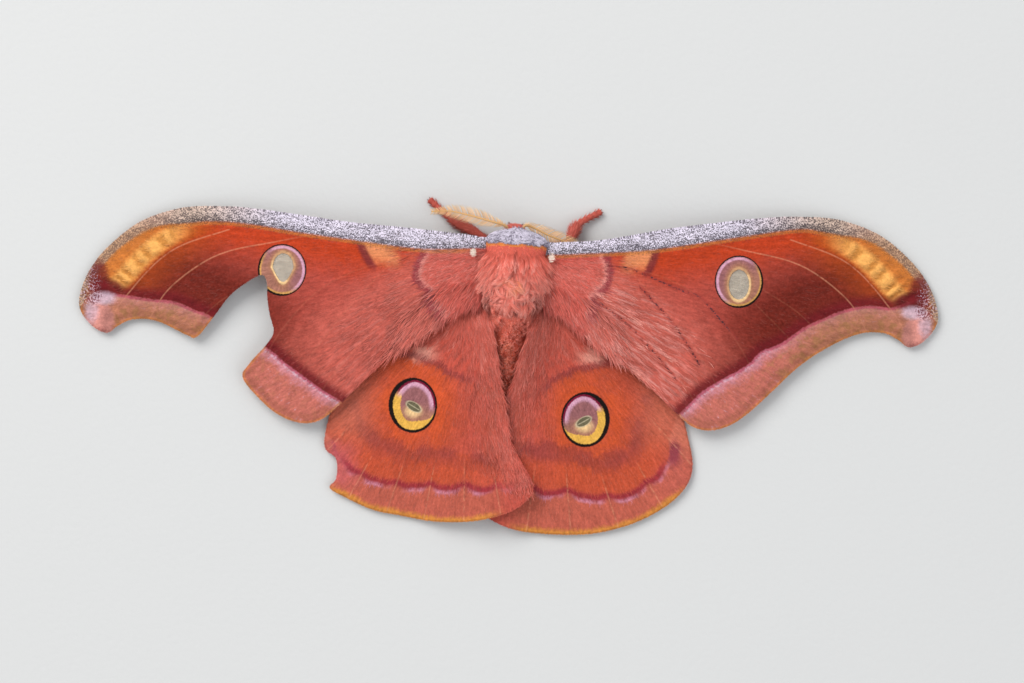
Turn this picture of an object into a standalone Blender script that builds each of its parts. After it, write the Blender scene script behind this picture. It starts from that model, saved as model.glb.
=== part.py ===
"""A tussar silk moth with its wings spread flat, life size.

The head points toward +Y and the moth rests on the floor, z = 0, on its six feet and the
end of its abdomen.  Sizes in the code are millimetres, and each finished mesh is scaled
to metres.  Wings are described for the moth's right side, at +X, and mirrored for its
left.  The body is turned a little from the wings' own axis.
"""
import math
import random

import bmesh
import bpy
from mathutils import Matrix, Vector
from mathutils.geometry import delaunay_2d_cdt

MM = 0.001
GAP = 0.3

# Middle of the moth's box, in the frame of the wings' own axis of symmetry
BOX_MIDDLE = (0.0, -0.33)
BODY_YAW = math.radians(-3.3)
BODY_PULL_NEAR = 6.0
BODY_PULL_FAR = 30.0

# Wing sheets
WING_THICKNESS = 0.6
MARGIN_STEP = 2.6
INNER_STEP = 5.0
VEIN_STEP = 4.2
VEIN_HALF_WIDTH = 0.6
VEIN_RISE = 0.3
VEIN_CLEARANCE = 0.9
VEIN_SPACING = 1.56
WINDOW_HALF_SIZE = (1.75, 2.3)
WINDOW_RECESS = 0.12
WINDOW_SLOPE = 0.35
WINDOW_SIDES = 12

# Each wing falls from its root to its margin over a reach along x and y
FORE_ROOT = (5.5, 15.5)
FORE_REACH = (69.5, 29.0)
FORE_FALL = 1.5
FORE_ROOT_HEIGHT = 7.3
FORE_TIP_HEIGHT = 1.0
FORE_OVER_HIND_HEIGHT = 2.5
FORE_OVER_HIND_SPREAD = (34.0, 62.0)
HIND_ROOT = (4.5, 10.0)
HIND_REACH = (28.5, 39.5)
HIND_FALL = 1.4
HIND_ROOT_HEIGHT = 5.25
HIND_MARGIN_HEIGHT = 0.95
HIND_OVERLAP_LIFT = 1.6
HIND_OVERLAP_SPREAD = (7.0, 15.0)
HIND_OVERLAP_FRONT = (-8.0, 2.0)
HIND_RIDE_CLEARANCE = 0.9
HIND_RIDE_SPREAD = (1.5, 7.5)
HIND_RIDE_FRONT = (5.5, 9.5)

FORE_COSTA = [(3.0, 20.9), (7.0, 21.7), (15.5, 22.5), (29.0, 24.3), (43.5, 26.2), (50.5, 26.6),
              (57.5, 26.2), (64.5, 23.7), (70.0, 19.3), (73.4, 14.8), (74.9, 10.2)]
FORE_TIP = [(74.4, 7.6), (72.4, 5.3), (70.0, 4.3), (68.0, 5.6), (65.5, 6.7), (61.3, 6.5)]
FORE_TERMEN = [(56.1, 4.2), (51.0, 0.8), (46.6, -3.4), (42.4, -7.4)]
FORE_TORNUS = [(39.0, -9.8), (35.6, -10.8), (32.4, -10.2), (29.2, -7.6), (25.2, -3.7),
               (19.0, 1.8), (12.5, 6.6), (7.5, 10.6), (3.0, 12.4)]
FORE_TEAR = [(54.2, 3.9), (51.3, 7.4), (48.6, 11.0), (45.5, 13.5), (43.0, 14.8), (42.0, 13.6),
             (41.9, 11.0), (41.4, 7.9), (40.7, 4.9), (42.1, 2.5), (44.9, -0.7), (46.0, -3.2)]
HIND_LEADING = [(3.0, 11.5), (9.0, 10.0), (18.0, 5.5), (25.5, -0.5), (30.0, -7.0)]
HIND_OUTER = [(31.8, -12.5), (32.6, -17.0), (31.6, -20.6), (28.4, -24.0), (23.4, -26.8),
              (17.0, -28.6), (10.3, -29.0), (4.0, -28.7), (-0.5, -27.3), (-4.2, -25.2)]
HIND_OUTER_WORN = [(31.7, -14.5), (29.6, -17.0), (29.5, -20.4), (30.6, -22.1), (27.5, -23.9),
                   (22.9, -26.0), (17.7, -27.2), (11.8, -28.1), (5.8, -27.9), (0.8, -26.7),
                   (-3.4, -24.8)]
HIND_INNER = [(-5.9, -22.0), (-5.6, -19.6), (-3.2, -16.0), (-1.5, -13.0), (-0.4, -9.0),
              (0.2, -5.5), (1.2, -2.4), (2.2, 2.5), (3.4, 7.0)]

FORE_VEINS = {
    "costa": [(9.0, 20.9), (20.0, 22.1), (32.0, 23.6), (44.0, 25.1), (54.0, 25.5),
              (62.0, 23.6), (68.2, 19.2), (71.8, 14.6)],
    "radius": [(8.0, 19.0), (16.0, 19.7), (26.0, 20.6), (36.6, 21.9), (50.5, 23.9),
               (56.0, 23.5), (61.0, 21.5), (65.4, 17.6), (69.4, 11.8)],
    "radial_fork": [(48.8, 22.6), (56.7, 19.9), (61.5, 16.7), (66.6, 10.9), (69.1, 7.3)],
    "upper_median": [(33.1, 22.1), (41.0, 20.5), (48.9, 18.8), (54.2, 16.2), (59.5, 11.8),
                     (62.7, 6.6)],
    "middle_median": [(44.1, 13.8), (50.8, 9.6), (56.1, 4.1)],
    "lower_median": [(42.9, 11.2), (49.1, 5.2), (51.8, 1.4)],
    "upper_cubital": [(7.4, 18.0), (20.2, 17.5), (31.6, 13.2), (39.5, 5.0), (45.0, -5.2)],
    "lower_cubital": [(20.2, 17.5), (28.5, 8.3), (34.4, 0.5), (39.8, -9.5)],
    "anal": [(7.5, 14.0), (16.8, 11.0), (24.8, 3.9), (31.9, -4.7), (33.7, -10.8)],
}
HIND_VEIN_ROOT = (4.0, 9.0)
HIND_VEIN_BOW = 0.04
HIND_VEIN_ENDS = [(31.5, -9.0), (32.5, -17.0), (27.6, -24.4), (20.5, -27.8), (13.0, -29.0),
                  (5.5, -28.9), (-1.0, -27.0)]
FORE_EYESPOT = {"right": (39.9, 14.6), "left": (39.2, 16.2)}

# Body sections: place along the body, half width, height of the middle, half height
THORAX_SECTIONS = [(8.4, 4.2, 6.2, 4.0), (10.0, 4.9, 6.5, 4.4), (12.5, 5.3, 6.7, 4.6),
                   (16.0, 5.5, 6.7, 4.5), (18.8, 5.4, 6.4, 4.1), (20.4, 5.0, 6.2, 3.7)]
COLLAR_SECTIONS = [(20.7, 6.0, 6.2, 3.8), (21.4, 5.7, 6.2, 3.6), (22.2, 4.5, 6.1, 3.0),
                   (22.8, 2.9, 6.0, 2.2)]
ABDOMEN_SECTIONS = [(8.1, 4.1, 6.0, 3.8), (4.0, 3.8, 4.9, 3.3), (0.0, 3.1, 3.4, 2.6),
                    (-3.5, 2.2, 2.0, 1.9), (-6.5, 1.3, 1.2, 1.2), (-8.0, 0.6, 0.8, 0.55)]
ABDOMEN_RINGS = 8
ABDOMEN_PLEAT = 0.05
COLLAR_HEM = 5.0
BODY_SIDES = 20
BELLY_DEPTH = 0.95

# Long coat: each lock runs from a root sunk in its body to a tip along the coat's lie
LOCK_STEPS = (0.0, 0.3, 0.6, 0.85, 1.0)
LOCK_RISES = (-0.7, 0.35, 0.75, 1.0, 0.95)
LOCK_WIDTHS = (0.7, 1.0, 0.85, 0.55)
LOCK_THICKNESS = 0.6
WING_LOCK_THICKNESSES = (0.44, 0.56, 0.56, 0.5)
LOCK_SEED = 7
LOCK_LENGTH_SHARES = (0.85, 1.12)
LOCK_SWAY = 0.16
THORAX_LOCK_ROWS = 7
THORAX_LOCK_COLUMNS = 6
THORAX_LOCK_LENGTH = 4.6
THORAX_LOCK_WIDTH = 2.5
THORAX_LOCK_REACH = math.radians(60.0)
THORAX_LOCK_FAN = 0.25
THORAX_LOCK_INSET = 0.9

# Head
HEAD_MIDDLE = (-0.4, 22.2, 4.0)
HEAD_HALF_SIZE = (2.6, 2.1, 2.3)
EYE_SPREAD = 2.35
EYE_MIDDLE = (-0.4, 21.9, 3.8)
EYE_RADIUS = 1.3
PALP_PATH = [(0.8, 23.2, 3.1), (0.9, 24.4, 2.9), (0.8, 25.3, 3.3)]
PALP_RADII = [0.55, 0.6, 0.35]

# Hair along the inner edge of each hindwing and over the base of each forewing
INNER_LOCK_LENGTH = 6.0
INNER_LOCK_WIDTH = 2.1
INNER_LOCK_ROWS = {
    "right": [((3.9, 3.2), (3.1, -1.6), 4), ((6.0, 3.8), (5.2, -3.6), 4)],
    "left": [((3.9, 3.2), (-2.6, -17.0), 9), ((6.0, 3.4), (0.2, -15.6), 8)],
}
INNER_LOCK_LIE = {"right": (-0.16, -1.0), "left": (-0.3, -0.95)}
INNER_LOCK_RISES = (0.0, 0.75, 1.0, 0.9, 0.75)
BASE_LOCK_ROWS = [((7.8, 12.6), (15.6, 6.4), 5), ((8.6, 15.0), (14.8, 9.6), 4)]
BASE_LOCK_LENGTH = 4.8
BASE_LOCK_WIDTH = 2.3
BASE_LOCK_LIE = (0.35, -0.94)
BASE_LOCK_RISES = (0.0, 0.7, 0.95, 0.7, 0.35)

# Antennae: each path starts inside the head
ANTENNA_PATHS = {
    "left": [(-0.1, 23.2, 4.9), (-1.0, 24.1, 5.7), (-3.2, 24.7, 6.2), (-7.0, 25.7, 5.8),
             (-10.5, 26.4, 5.0), (-13.7, 26.3, 4.2)],
    "right": [(1.9, 23.2, 4.7), (2.8, 24.2, 4.9), (4.4, 23.7, 4.4), (6.4, 22.7, 4.1),
              (8.8, 21.8, 4.0), (11.4, 20.9, 4.0), (14.6, 20.3, 4.0)],
}
ANTENNA_SHAFT_RADIUS = 0.34
ANTENNA_RAY_PAIRS = 13
ANTENNA_RAY_LENGTH = 1.85
ANTENNA_RAY_THICKNESS = 0.44
ANTENNA_RAY_LEAN = math.radians(52.0)
ANTENNA_RAY_RANGE = (0.16, 0.96)
ANTENNA_FULL_RANGE = (0.05, 0.4)
ANTENNA_TIP_RANGE = (0.55, 1.0)

# Legs: joints from the thorax to the claws, and the radius at each of them
FORE_LEG_PATHS = {
    "left": [(-0.6, 18.3, 3.6), (-5.1, 22.4, 2.6), (-10.5, 25.3, 1.3), (-14.2, 28.6, 0.45)],
    "right": [(3.2, 18.3, 3.6), (10.2, 21.3, 2.6), (11.8, 24.8, 1.3), (15.9, 27.0, 0.45)],
}
MIDDLE_LEG_PATH = [(2.5, 14.0, 3.4), (8.0, 16.0, 4.0), (13.0, 12.0, 1.2), (17.0, 9.0, 0.45)]
HIND_LEG_PATH = [(2.6, 10.4, 3.4), (6.4, 5.0, 2.7), (9.2, -1.0, 1.2), (11.7, -6.0, 0.45)]
FEMUR_RADIUS = 0.9
TIBIA_RADIUS = 0.85
TARSUS_RADIUS = 0.5
TARSUS_PADS = 5
LEG_SIDES = 8


def smoothstep(low, high, value):
    """Rise smoothly from 0 at low to 1 at high."""
    t = min(max((value - low) / (high - low), 0.0), 1.0)
    return t * t * (3.0 - 2.0 * t)


def spline_point(before, start, end, after, t):
    """Point at t between start and end on a Catmull-Rom curve."""
    return 0.5 * (2.0 * start + (end - before) * t
                  + (2.0 * before - 5.0 * start + 4.0 * end - after) * t * t
                  + (3.0 * start - before - 3.0 * end + after) * t ** 3)


def smooth_path(points, step, closed=False):
    """Sample a smooth curve through the points about every step."""
    knots = [Vector(point) for point in points]
    count = len(knots)
    spans = count if closed else count - 1
    samples = []
    for i in range(spans):
        if closed:
            before, start, end, after = (knots[(i + k) % count] for k in (-1, 0, 1, 2))
        else:
            start, end = knots[i], knots[i + 1]
            before = knots[i - 1] if i > 0 else 2.0 * start - end
            after = knots[i + 2] if i + 2 < count else 2.0 * end - start
        pieces = max(1, round((end - start).length / step))
        samples += [spline_point(before, start, end, after, k / pieces) for k in range(pieces)]
    if not closed:
        samples.append(knots[-1])
    return samples


def section_at(sections, place):
    """Read half width, middle height and half height at a place along the body."""
    ordered = sorted(sections)
    place = min(max(place, ordered[0][0]), ordered[-1][0])
    for low, high in zip(ordered, ordered[1:]):
        if place <= high[0]:
            t = smoothstep(low[0], high[0], place)
            return [low[k] + (high[k] - low[k]) * t for k in (1, 2, 3)]
    return list(ordered[-1][1:])


def turned(point, angle):
    """Turn a point about the vertical axis through the frame's origin."""
    return Matrix.Rotation(angle, 3, 'Z') @ Vector(point)


def body_point(point):
    """Place a point of the body's own frame."""
    return turned(point, BODY_YAW)


def pulled_to_body(point):
    """Turn a wing point with the body where it lies near it."""
    pull = 1.0 - smoothstep(BODY_PULL_NEAR, BODY_PULL_FAR, abs(point.x))
    return point.lerp(turned(point, BODY_YAW), pull)


def mesh_object(name, points, faces):
    """Make a linked object from points in millimetres."""
    mesh = bpy.data.meshes.new(name)
    mesh.from_pydata([tuple(point) for point in points], [], faces)
    thing = bpy.data.objects.new(name, mesh)
    bpy.context.scene.collection.objects.link(thing)
    return thing


def facing_out(thing):
    """Split all faces into triangles that face out."""
    shape = bmesh.new()
    shape.from_mesh(thing.data)
    bmesh.ops.recalc_face_normals(shape, faces=shape.faces)
    bmesh.ops.triangulate(shape, faces=shape.faces)
    shape.to_mesh(thing.data)
    shape.free()
    return thing


def loft(name, rings):
    """Join rings of equal count into one closed skin with flat ends."""
    sides = len(rings[0])
    points = [point for ring in rings for point in ring]
    faces = []
    for i in range(len(rings) - 1):
        for k in range(sides):
            near, far = i * sides + k, i * sides + (k + 1) % sides
            faces.append((near, far, far + sides, near + sides))
    last = (len(rings) - 1) * sides
    faces.append(tuple(reversed(range(sides))))
    faces.append(tuple(range(last, last + sides)))
    return facing_out(mesh_object(name, points, faces))


def bake(thing):
    """Replace an object's mesh by the result of its modifiers."""
    graph = bpy.context.evaluated_depsgraph_get()
    mesh = bpy.data.meshes.new_from_object(thing.evaluated_get(graph))
    old = thing.data
    thing.modifiers.clear()
    thing.data = mesh
    bpy.data.meshes.remove(old)


def keep_largest(thing):
    """Keep only the largest connected surface of an object."""
    shape = bmesh.new()
    shape.from_mesh(thing.data)
    unseen = set(shape.verts)
    islands = []
    while unseen:
        island = [unseen.pop()]
        for vert in island:
            for edge in vert.link_edges:
                other = edge.other_vert(vert)
                if other in unseen:
                    unseen.remove(other)
                    island.append(other)
        islands.append(island)
    islands.sort(key=len)
    scraps = [vert for island in islands[:-1] for vert in island]
    bmesh.ops.delete(shape, geom=scraps, context='VERTS')
    bmesh.ops.triangulate(shape, faces=shape.faces)
    shape.to_mesh(thing.data)
    shape.free()


def cut_clear(thing, cutters):
    """Cut an object by others that were grown by the gap, and remove those."""
    for cutter in cutters:
        modifier = thing.modifiers.new("clear", 'BOOLEAN')
        modifier.operation = 'DIFFERENCE'
        modifier.solver = 'EXACT'
        modifier.object = cutter
        cutter.hide_render = True
        cutter.display_type = 'WIRE'
        bake(thing)
        bpy.data.objects.remove(cutter)
    keep_largest(thing)
    return thing


def fuse(thing, pieces):
    """Join pieces to an object by one union, and remove them."""
    group = bpy.data.collections.new("pieces")
    bpy.context.scene.collection.children.link(group)
    for piece in pieces:
        bpy.context.scene.collection.objects.unlink(piece)
        group.objects.link(piece)
    modifier = thing.modifiers.new("joined", 'BOOLEAN')
    modifier.operation = 'UNION'
    modifier.solver = 'EXACT'
    modifier.operand_type = 'COLLECTION'
    modifier.collection = group
    bake(thing)
    for piece in pieces:
        bpy.data.objects.remove(piece)
    bpy.data.collections.remove(group)
    keep_largest(thing)
    return thing


def tapered(name, path, outs, widths, thicknesses):
    """Make a four-sided piece along a path, flat across outs, that ends in a point."""
    points = []
    last = len(path) - 1
    for i in range(last):
        forward = (path[i + 1] - path[max(i - 1, 0)]).normalized()
        aside = forward.cross(outs[i]).normalized()
        over = aside.cross(forward)
        for across, up in ((1.0, 0.0), (0.0, 1.0), (-1.0, 0.0), (0.0, -1.0)):
            points.append(path[i] + aside * across * 0.5 * widths[i]
                          + over * up * 0.5 * thicknesses[i])
    points.append(path[last])
    faces = [(3, 2, 1, 0)]
    for i in range(last):
        for k in range(4):
            near, far = 4 * i + k, 4 * i + (k + 1) % 4
            if i + 1 < last:
                faces.append((near, far, far + 4, near + 4))
            else:
                faces.append((near, far, 4 * last))
    return facing_out(mesh_object(name, points, faces))


def inside(point, outline):
    """Tell whether a point of the plan lies inside a closed outline."""
    crossings = 0
    for a, b in zip(outline, outline[1:] + outline[:1]):
        if (a.y > point.y) != (b.y > point.y):
            if point.x < a.x + (point.y - a.y) * (b.x - a.x) / (b.y - a.y):
                crossings += 1
    return crossings % 2 == 1


def distance_to(point, path):
    """Shortest distance from a point of the plan to a path."""
    nearest = math.inf
    for a, b in zip(path, path[1:]):
        along = b - a
        t = min(max((point - a).dot(along) / along.length_squared, 0.0), 1.0)
        nearest = min(nearest, (point - a - along * t).length)
    return nearest


def wing_point(spot, height, mirror):
    """Place a point of a wing's plan at a height."""
    side = -1.0 if mirror else 1.0
    return pulled_to_body(Vector((side * spot.x, spot.y, height)))


def fore_height(x, y):
    """Height of the forewing's middle layer above the floor."""
    reach = math.hypot((x - FORE_ROOT[0]) / FORE_REACH[0], (y - FORE_ROOT[1]) / FORE_REACH[1])
    over_hind = 1.0 - smoothstep(*FORE_OVER_HIND_SPREAD, x)
    margin = FORE_TIP_HEIGHT + (FORE_OVER_HIND_HEIGHT - FORE_TIP_HEIGHT) * over_hind
    return margin + (FORE_ROOT_HEIGHT - margin) * max(0.0, 1.0 - reach) ** FORE_FALL


def hind_height(x, y):
    """Height of the hindwing's middle layer, whose inner edge rides on the abdomen."""
    reach = math.hypot((x - HIND_ROOT[0]) / HIND_REACH[0], (y - HIND_ROOT[1]) / HIND_REACH[1])
    fall = max(0.0, 1.0 - reach) ** HIND_FALL
    height = HIND_MARGIN_HEIGHT + (HIND_ROOT_HEIGHT - HIND_MARGIN_HEIGHT) * fall
    _, middle, half_height = section_at(ABDOMEN_SECTIONS, y)
    ride = middle + half_height + HIND_RIDE_CLEARANCE
    near = (1.0 - smoothstep(*HIND_RIDE_SPREAD, x)) * (1.0 - smoothstep(*HIND_RIDE_FRONT, y))
    return height + max(0.0, ride - height) * near


def upper_hind_height(x, y):
    """Height of the left hindwing, whose inner part lies over the right one."""
    aside = smoothstep(*HIND_OVERLAP_SPREAD, x)
    ahead = smoothstep(*HIND_OVERLAP_FRONT, y)
    return hind_height(x, y) + HIND_OVERLAP_LIFT * (1.0 - aside) * (1.0 - ahead)


def wing_lock(height, mirror, root, lie, length, width, rises):
    """Make one lock that rises from a wing's membrane and lies along it."""
    path = []
    for step, rise in zip(LOCK_STEPS, rises):
        spot = Vector(root) + Vector(lie) * length * step
        path.append(wing_point(spot, height(spot.x, spot.y) + rise, mirror))
    return tapered("lock", path, [Vector((0.0, 0.0, 1.0))] * len(path),
                   [width * share for share in LOCK_WIDTHS], WING_LOCK_THICKNESSES)


def lock_rows(rows, lie, length, width, rises, height, mirror):
    """Rows of locks along straight lines of a wing's plan."""
    draw = random.Random(LOCK_SEED)
    locks = []
    for start, end, count in rows:
        for k in range(count):
            root = Vector(start).lerp(Vector(end), k / (count - 1))
            sway = Vector((draw.uniform(-LOCK_SWAY, LOCK_SWAY), draw.uniform(-LOCK_SWAY, LOCK_SWAY)))
            size = length * draw.uniform(*LOCK_LENGTH_SHARES)
            locks.append(wing_lock(height, mirror, root, (Vector(lie) + sway).normalized(),
                                   size, width, rises))
    return locks


def hind_veins():
    """Veins of the hindwing, which fan out from its root in shallow arcs."""
    root = Vector(HIND_VEIN_ROOT)
    veins = []
    for end in HIND_VEIN_ENDS:
        run = Vector(end) - root
        bow = Vector((-run.y, run.x)) * HIND_VEIN_BOW
        veins.append([root, root + run * 0.5 + bow, Vector(end)])
    return veins


def vein_runs(vein, outline, taken):
    """Stretches of a vein that keep clear of the margin and of what is taken."""
    runs = [[]]
    rim = outline + outline[:1]
    for point in smooth_path(vein, VEIN_STEP):
        free = inside(point, outline) and distance_to(point, rim) > VEIN_CLEARANCE
        free = free and all(distance_to(point, path) > VEIN_SPACING for path in taken)
        if free:
            runs[-1].append(point)
        elif runs[-1]:
            runs.append([])
    return [run for run in runs if len(run) > 2]


class SheetPlan:
    """Points and edges of a wing's plan, with the rise of each point."""

    def __init__(self, outline):
        """Start from the closed outline of the wing."""
        self.points = list(outline)
        self.rises = [0.0] * len(outline)
        count = len(outline)
        self.edges = [(i, (i + 1) % count) for i in range(count)]
        self.margin = list(range(count))

    def add_line(self, points, rise, closed=False):
        """Add a line of points that share one rise."""
        first = len(self.points)
        self.points += points
        self.rises += [rise] * len(points)
        self.edges += [(first + i, first + i + 1) for i in range(len(points) - 1)]
        if closed:
            self.edges.append((first + len(points) - 1, first))

    def add_vein(self, run):
        """Add a vein as a crest between two feet that close at its ends."""
        aside = []
        for i, point in enumerate(run):
            along = run[min(i + 1, len(run) - 1)] - run[max(i - 1, 0)]
            aside.append(Vector((-along.y, along.x)).normalized() * VEIN_HALF_WIDTH)
        middle = run[1:-1]
        sides = aside[1:-1]
        left = [point + side for point, side in zip(middle, sides)]
        right = [point - side for point, side in zip(middle, sides)]
        self.add_line([run[0]] + left + [run[-1]] + right[::-1], 0.0, closed=True)
        if len(middle) > 1:
            self.add_line(middle, VEIN_RISE)
        else:
            self.points += middle
            self.rises += [VEIN_RISE]

    def add_inner_points(self, outline):
        """Fill the free areas with a grid of points."""
        row_height = INNER_STEP * math.sqrt(0.75)
        low_x = min(point.x for point in outline)
        high_x = max(point.x for point in outline)
        low_y = min(point.y for point in outline)
        high_y = max(point.y for point in outline)
        taken = list(self.points)
        for row in range(int((high_y - low_y) / row_height) + 1):
            for column in range(int((high_x - low_x) / INNER_STEP) + 1):
                x = low_x + (column + 0.5 * (row % 2)) * INNER_STEP
                point = Vector((x, low_y + row * row_height))
                clear = min((point - other).length for other in taken) > 0.5 * INNER_STEP
                if clear and inside(point, outline):
                    self.points.append(point)
                    self.rises.append(0.0)

    def triangles(self):
        """Split the plan into triangles and give their points and rises."""
        margin = [self.margin]
        result = delaunay_2d_cdt(self.points, self.edges, margin, 1, 1e-4)
        points, faces, sources = result[0], result[2], result[3]
        rises = [max((self.rises[k] for k in origin), default=0.0) for origin in sources]
        return points, faces, rises


def rim_edges(faces):
    """Directed edges that belong to one face only, in the order of their faces."""
    directed = {(face[k], face[(k + 1) % 3]) for face in faces for k in range(3)}
    return [edge for edge in sorted(directed) if (edge[1], edge[0]) not in directed]


def wing_sheet(name, outline_points, veins, height, mirror, window=None):
    """Make one wing as a closed sheet whose veins rise from its upper face."""
    outline = smooth_path(outline_points, MARGIN_STEP, closed=True)
    plan = SheetPlan(outline)
    taken = []
    if window:
        rings = []
        for inset in (0.0, WINDOW_SLOPE):
            ring = []
            for k in range(WINDOW_SIDES):
                angle = math.tau * k / WINDOW_SIDES
                ring.append(Vector((window[0] + (WINDOW_HALF_SIZE[0] - inset) * math.cos(angle),
                                    window[1] + (WINDOW_HALF_SIZE[1] - inset) * math.sin(angle))))
            rings.append(ring)
        plan.add_line(rings[0], 0.0, closed=True)
        plan.add_line(rings[1], -WINDOW_RECESS, closed=True)
        taken.append(rings[0] + rings[0][:1])
    for vein in veins:
        for run in vein_runs(vein, outline, taken):
            plan.add_vein(run)
            taken.append(run)
    plan.add_inner_points(outline)
    plan_points, faces, rises = plan.triangles()

    half = 0.5 * WING_THICKNESS
    upper = []
    lower = []
    for point, rise in zip(plan_points, rises):
        middle = height(point.x, point.y)
        upper.append(wing_point(point, middle + half + rise, mirror))
        lower.append(wing_point(point, middle - half, mirror))
    count = len(upper)
    skin = [tuple(face) for face in faces]
    skin += [tuple(count + k for k in reversed(face)) for face in faces]
    for a, b in rim_edges(faces):
        skin.append((b, a, count + a))
        skin.append((b, count + a, count + b))
    return facing_out(mesh_object(name, upper + lower, skin))


def body_ring(place, half_width, middle, half_height, hem):
    """Section across the body: an arch over a flat belly, no lower than the hem."""
    belly = max(hem, middle - BELLY_DEPTH * half_height)
    start = math.asin((belly - middle) / half_height)
    ring = []
    for k in range(BODY_SIDES):
        angle = start + (math.pi - 2.0 * start) * k / (BODY_SIDES - 1)
        ring.append(body_point((half_width * math.cos(angle), place,
                                middle + half_height * math.sin(angle))))
    return ring


def body_loft(name, sections, grow=0.0, hem=0.0):
    """Loft body sections, drawn out on every side by the growth."""
    rings = []
    for i, (place, half_width, middle, half_height) in enumerate(sections):
        ahead = sections[0][0] > sections[-1][0]
        if i == 0:
            place += grow if ahead else -grow
        elif i == len(sections) - 1:
            place -= grow if ahead else -grow
        rings.append(body_ring(place, half_width + grow, middle, half_height + grow, hem))
    return loft(name, rings)


def thorax_form(name, grow=0.0):
    """Thorax under its coat."""
    return body_loft(name, THORAX_SECTIONS, grow)


def coat_point(sections, place, angle, rise):
    """Point over the body at an angle from its top, and the way out from there."""
    half_width, middle, half_height = section_at(sections, place)
    out = Vector((math.sin(angle) / half_width, 0.0, math.cos(angle) / half_height)).normalized()
    spot = Vector((half_width * math.sin(angle), place, middle + half_height * math.cos(angle)))
    return body_point(spot + out * rise), body_point(out)


def thorax_locks():
    """Long locks over the thorax, in rows that lie backward and fan outward."""
    draw = random.Random(LOCK_SEED)
    front = THORAX_SECTIONS[-1][0] - THORAX_LOCK_INSET
    rear = THORAX_SECTIONS[0][0] + THORAX_LOCK_INSET
    locks = []
    for row in range(THORAX_LOCK_ROWS):
        place = front + (rear - front) * row / (THORAX_LOCK_ROWS - 1)
        for column in range(THORAX_LOCK_COLUMNS + row % 2):
            spread = 2.0 * (column + 0.5) / (THORAX_LOCK_COLUMNS + row % 2) - 1.0
            start = THORAX_LOCK_REACH * spread
            fan = THORAX_LOCK_FAN * spread + 0.5 * draw.uniform(-LOCK_SWAY, LOCK_SWAY)
            length = THORAX_LOCK_LENGTH * draw.uniform(*LOCK_LENGTH_SHARES)
            path = []
            outs = []
            for step, rise in zip(LOCK_STEPS, LOCK_RISES):
                spot, out = coat_point(THORAX_SECTIONS, place - length * step,
                                       start + fan * step, rise)
                path.append(spot)
                outs.append(out)
            widths = [THORAX_LOCK_WIDTH * share for share in LOCK_WIDTHS]
            locks.append(tapered("lock", path, outs, widths, [LOCK_THICKNESS] * len(widths)))
    return locks


def make_thorax():
    """Make the thorax with its long coat."""
    return fuse(thorax_form("thorax"), thorax_locks())


def abdomen_form(name, grow=0.0):
    """Abdomen with pleated segments, flat where it lies on the floor."""
    front, rear = ABDOMEN_SECTIONS[0][0], ABDOMEN_SECTIONS[-1][0]
    sections = []
    for ring in range(ABDOMEN_RINGS):
        for edge, flare in ((0.0, 1.0 - ABDOMEN_PLEAT), (0.85, 1.0 + ABDOMEN_PLEAT)):
            place = front + (rear - front) * (ring + edge) / ABDOMEN_RINGS
            half_width, middle, half_height = section_at(ABDOMEN_SECTIONS, place)
            sections.append((place, half_width * flare, middle, half_height * flare))
    return body_loft(name, sections, grow)


def collar_form(name, grow=0.0):
    """Grey collar, a shield over the back of the head."""
    return body_loft(name, COLLAR_SECTIONS, grow, hem=COLLAR_HEM - grow)


def ball(name, middle, half_size, grow=0.0):
    """Rounded form with its own size along each axis."""
    shape = bmesh.new()
    bmesh.ops.create_uvsphere(shape, u_segments=14, v_segments=8, radius=1.0)
    mesh = bpy.data.meshes.new(name)
    for vert in shape.verts:
        size = [(half_size[k] + grow) * vert.co[k] for k in range(3)]
        vert.co = body_point(Vector(middle) + Vector(size))
    shape.to_mesh(mesh)
    shape.free()
    thing = bpy.data.objects.new(name, mesh)
    bpy.context.scene.collection.objects.link(thing)
    return facing_out(thing)


def head_form(name, grow=0.0):
    """Head without its eyes."""
    return ball(name, HEAD_MIDDLE, HEAD_HALF_SIZE, grow)


def eye_form(name, side, grow=0.0):
    """Eye of one side, -1 for the left and 1 for the right."""
    middle = (EYE_MIDDLE[0] + side * EYE_SPREAD, EYE_MIDDLE[1], EYE_MIDDLE[2])
    return ball(name, middle, (EYE_RADIUS,) * 3, grow)


def path_frames(path):
    """Forward, sideways and upward directions at each point of a path."""
    frames = []
    for i in range(len(path)):
        forward = (path[min(i + 1, len(path) - 1)] - path[max(i - 1, 0)]).normalized()
        aside = forward.cross(Vector((0.0, 0.0, 1.0))).normalized()
        frames.append((forward, aside, aside.cross(forward)))
    return frames


def tube(name, path, widths, heights, sides, floor=None):
    """Loft an oval tube along a path."""
    rings = []
    for point, frame, width, height in zip(path, path_frames(path), widths, heights):
        ring = []
        for k in range(sides):
            angle = math.tau * (k + 0.5) / sides
            spot = point + frame[1] * width * math.cos(angle) + frame[2] * height * math.sin(angle)
            if floor is not None:
                spot.z = max(spot.z, floor)
            ring.append(spot)
        rings.append(ring)
    return loft(name, rings)


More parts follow.
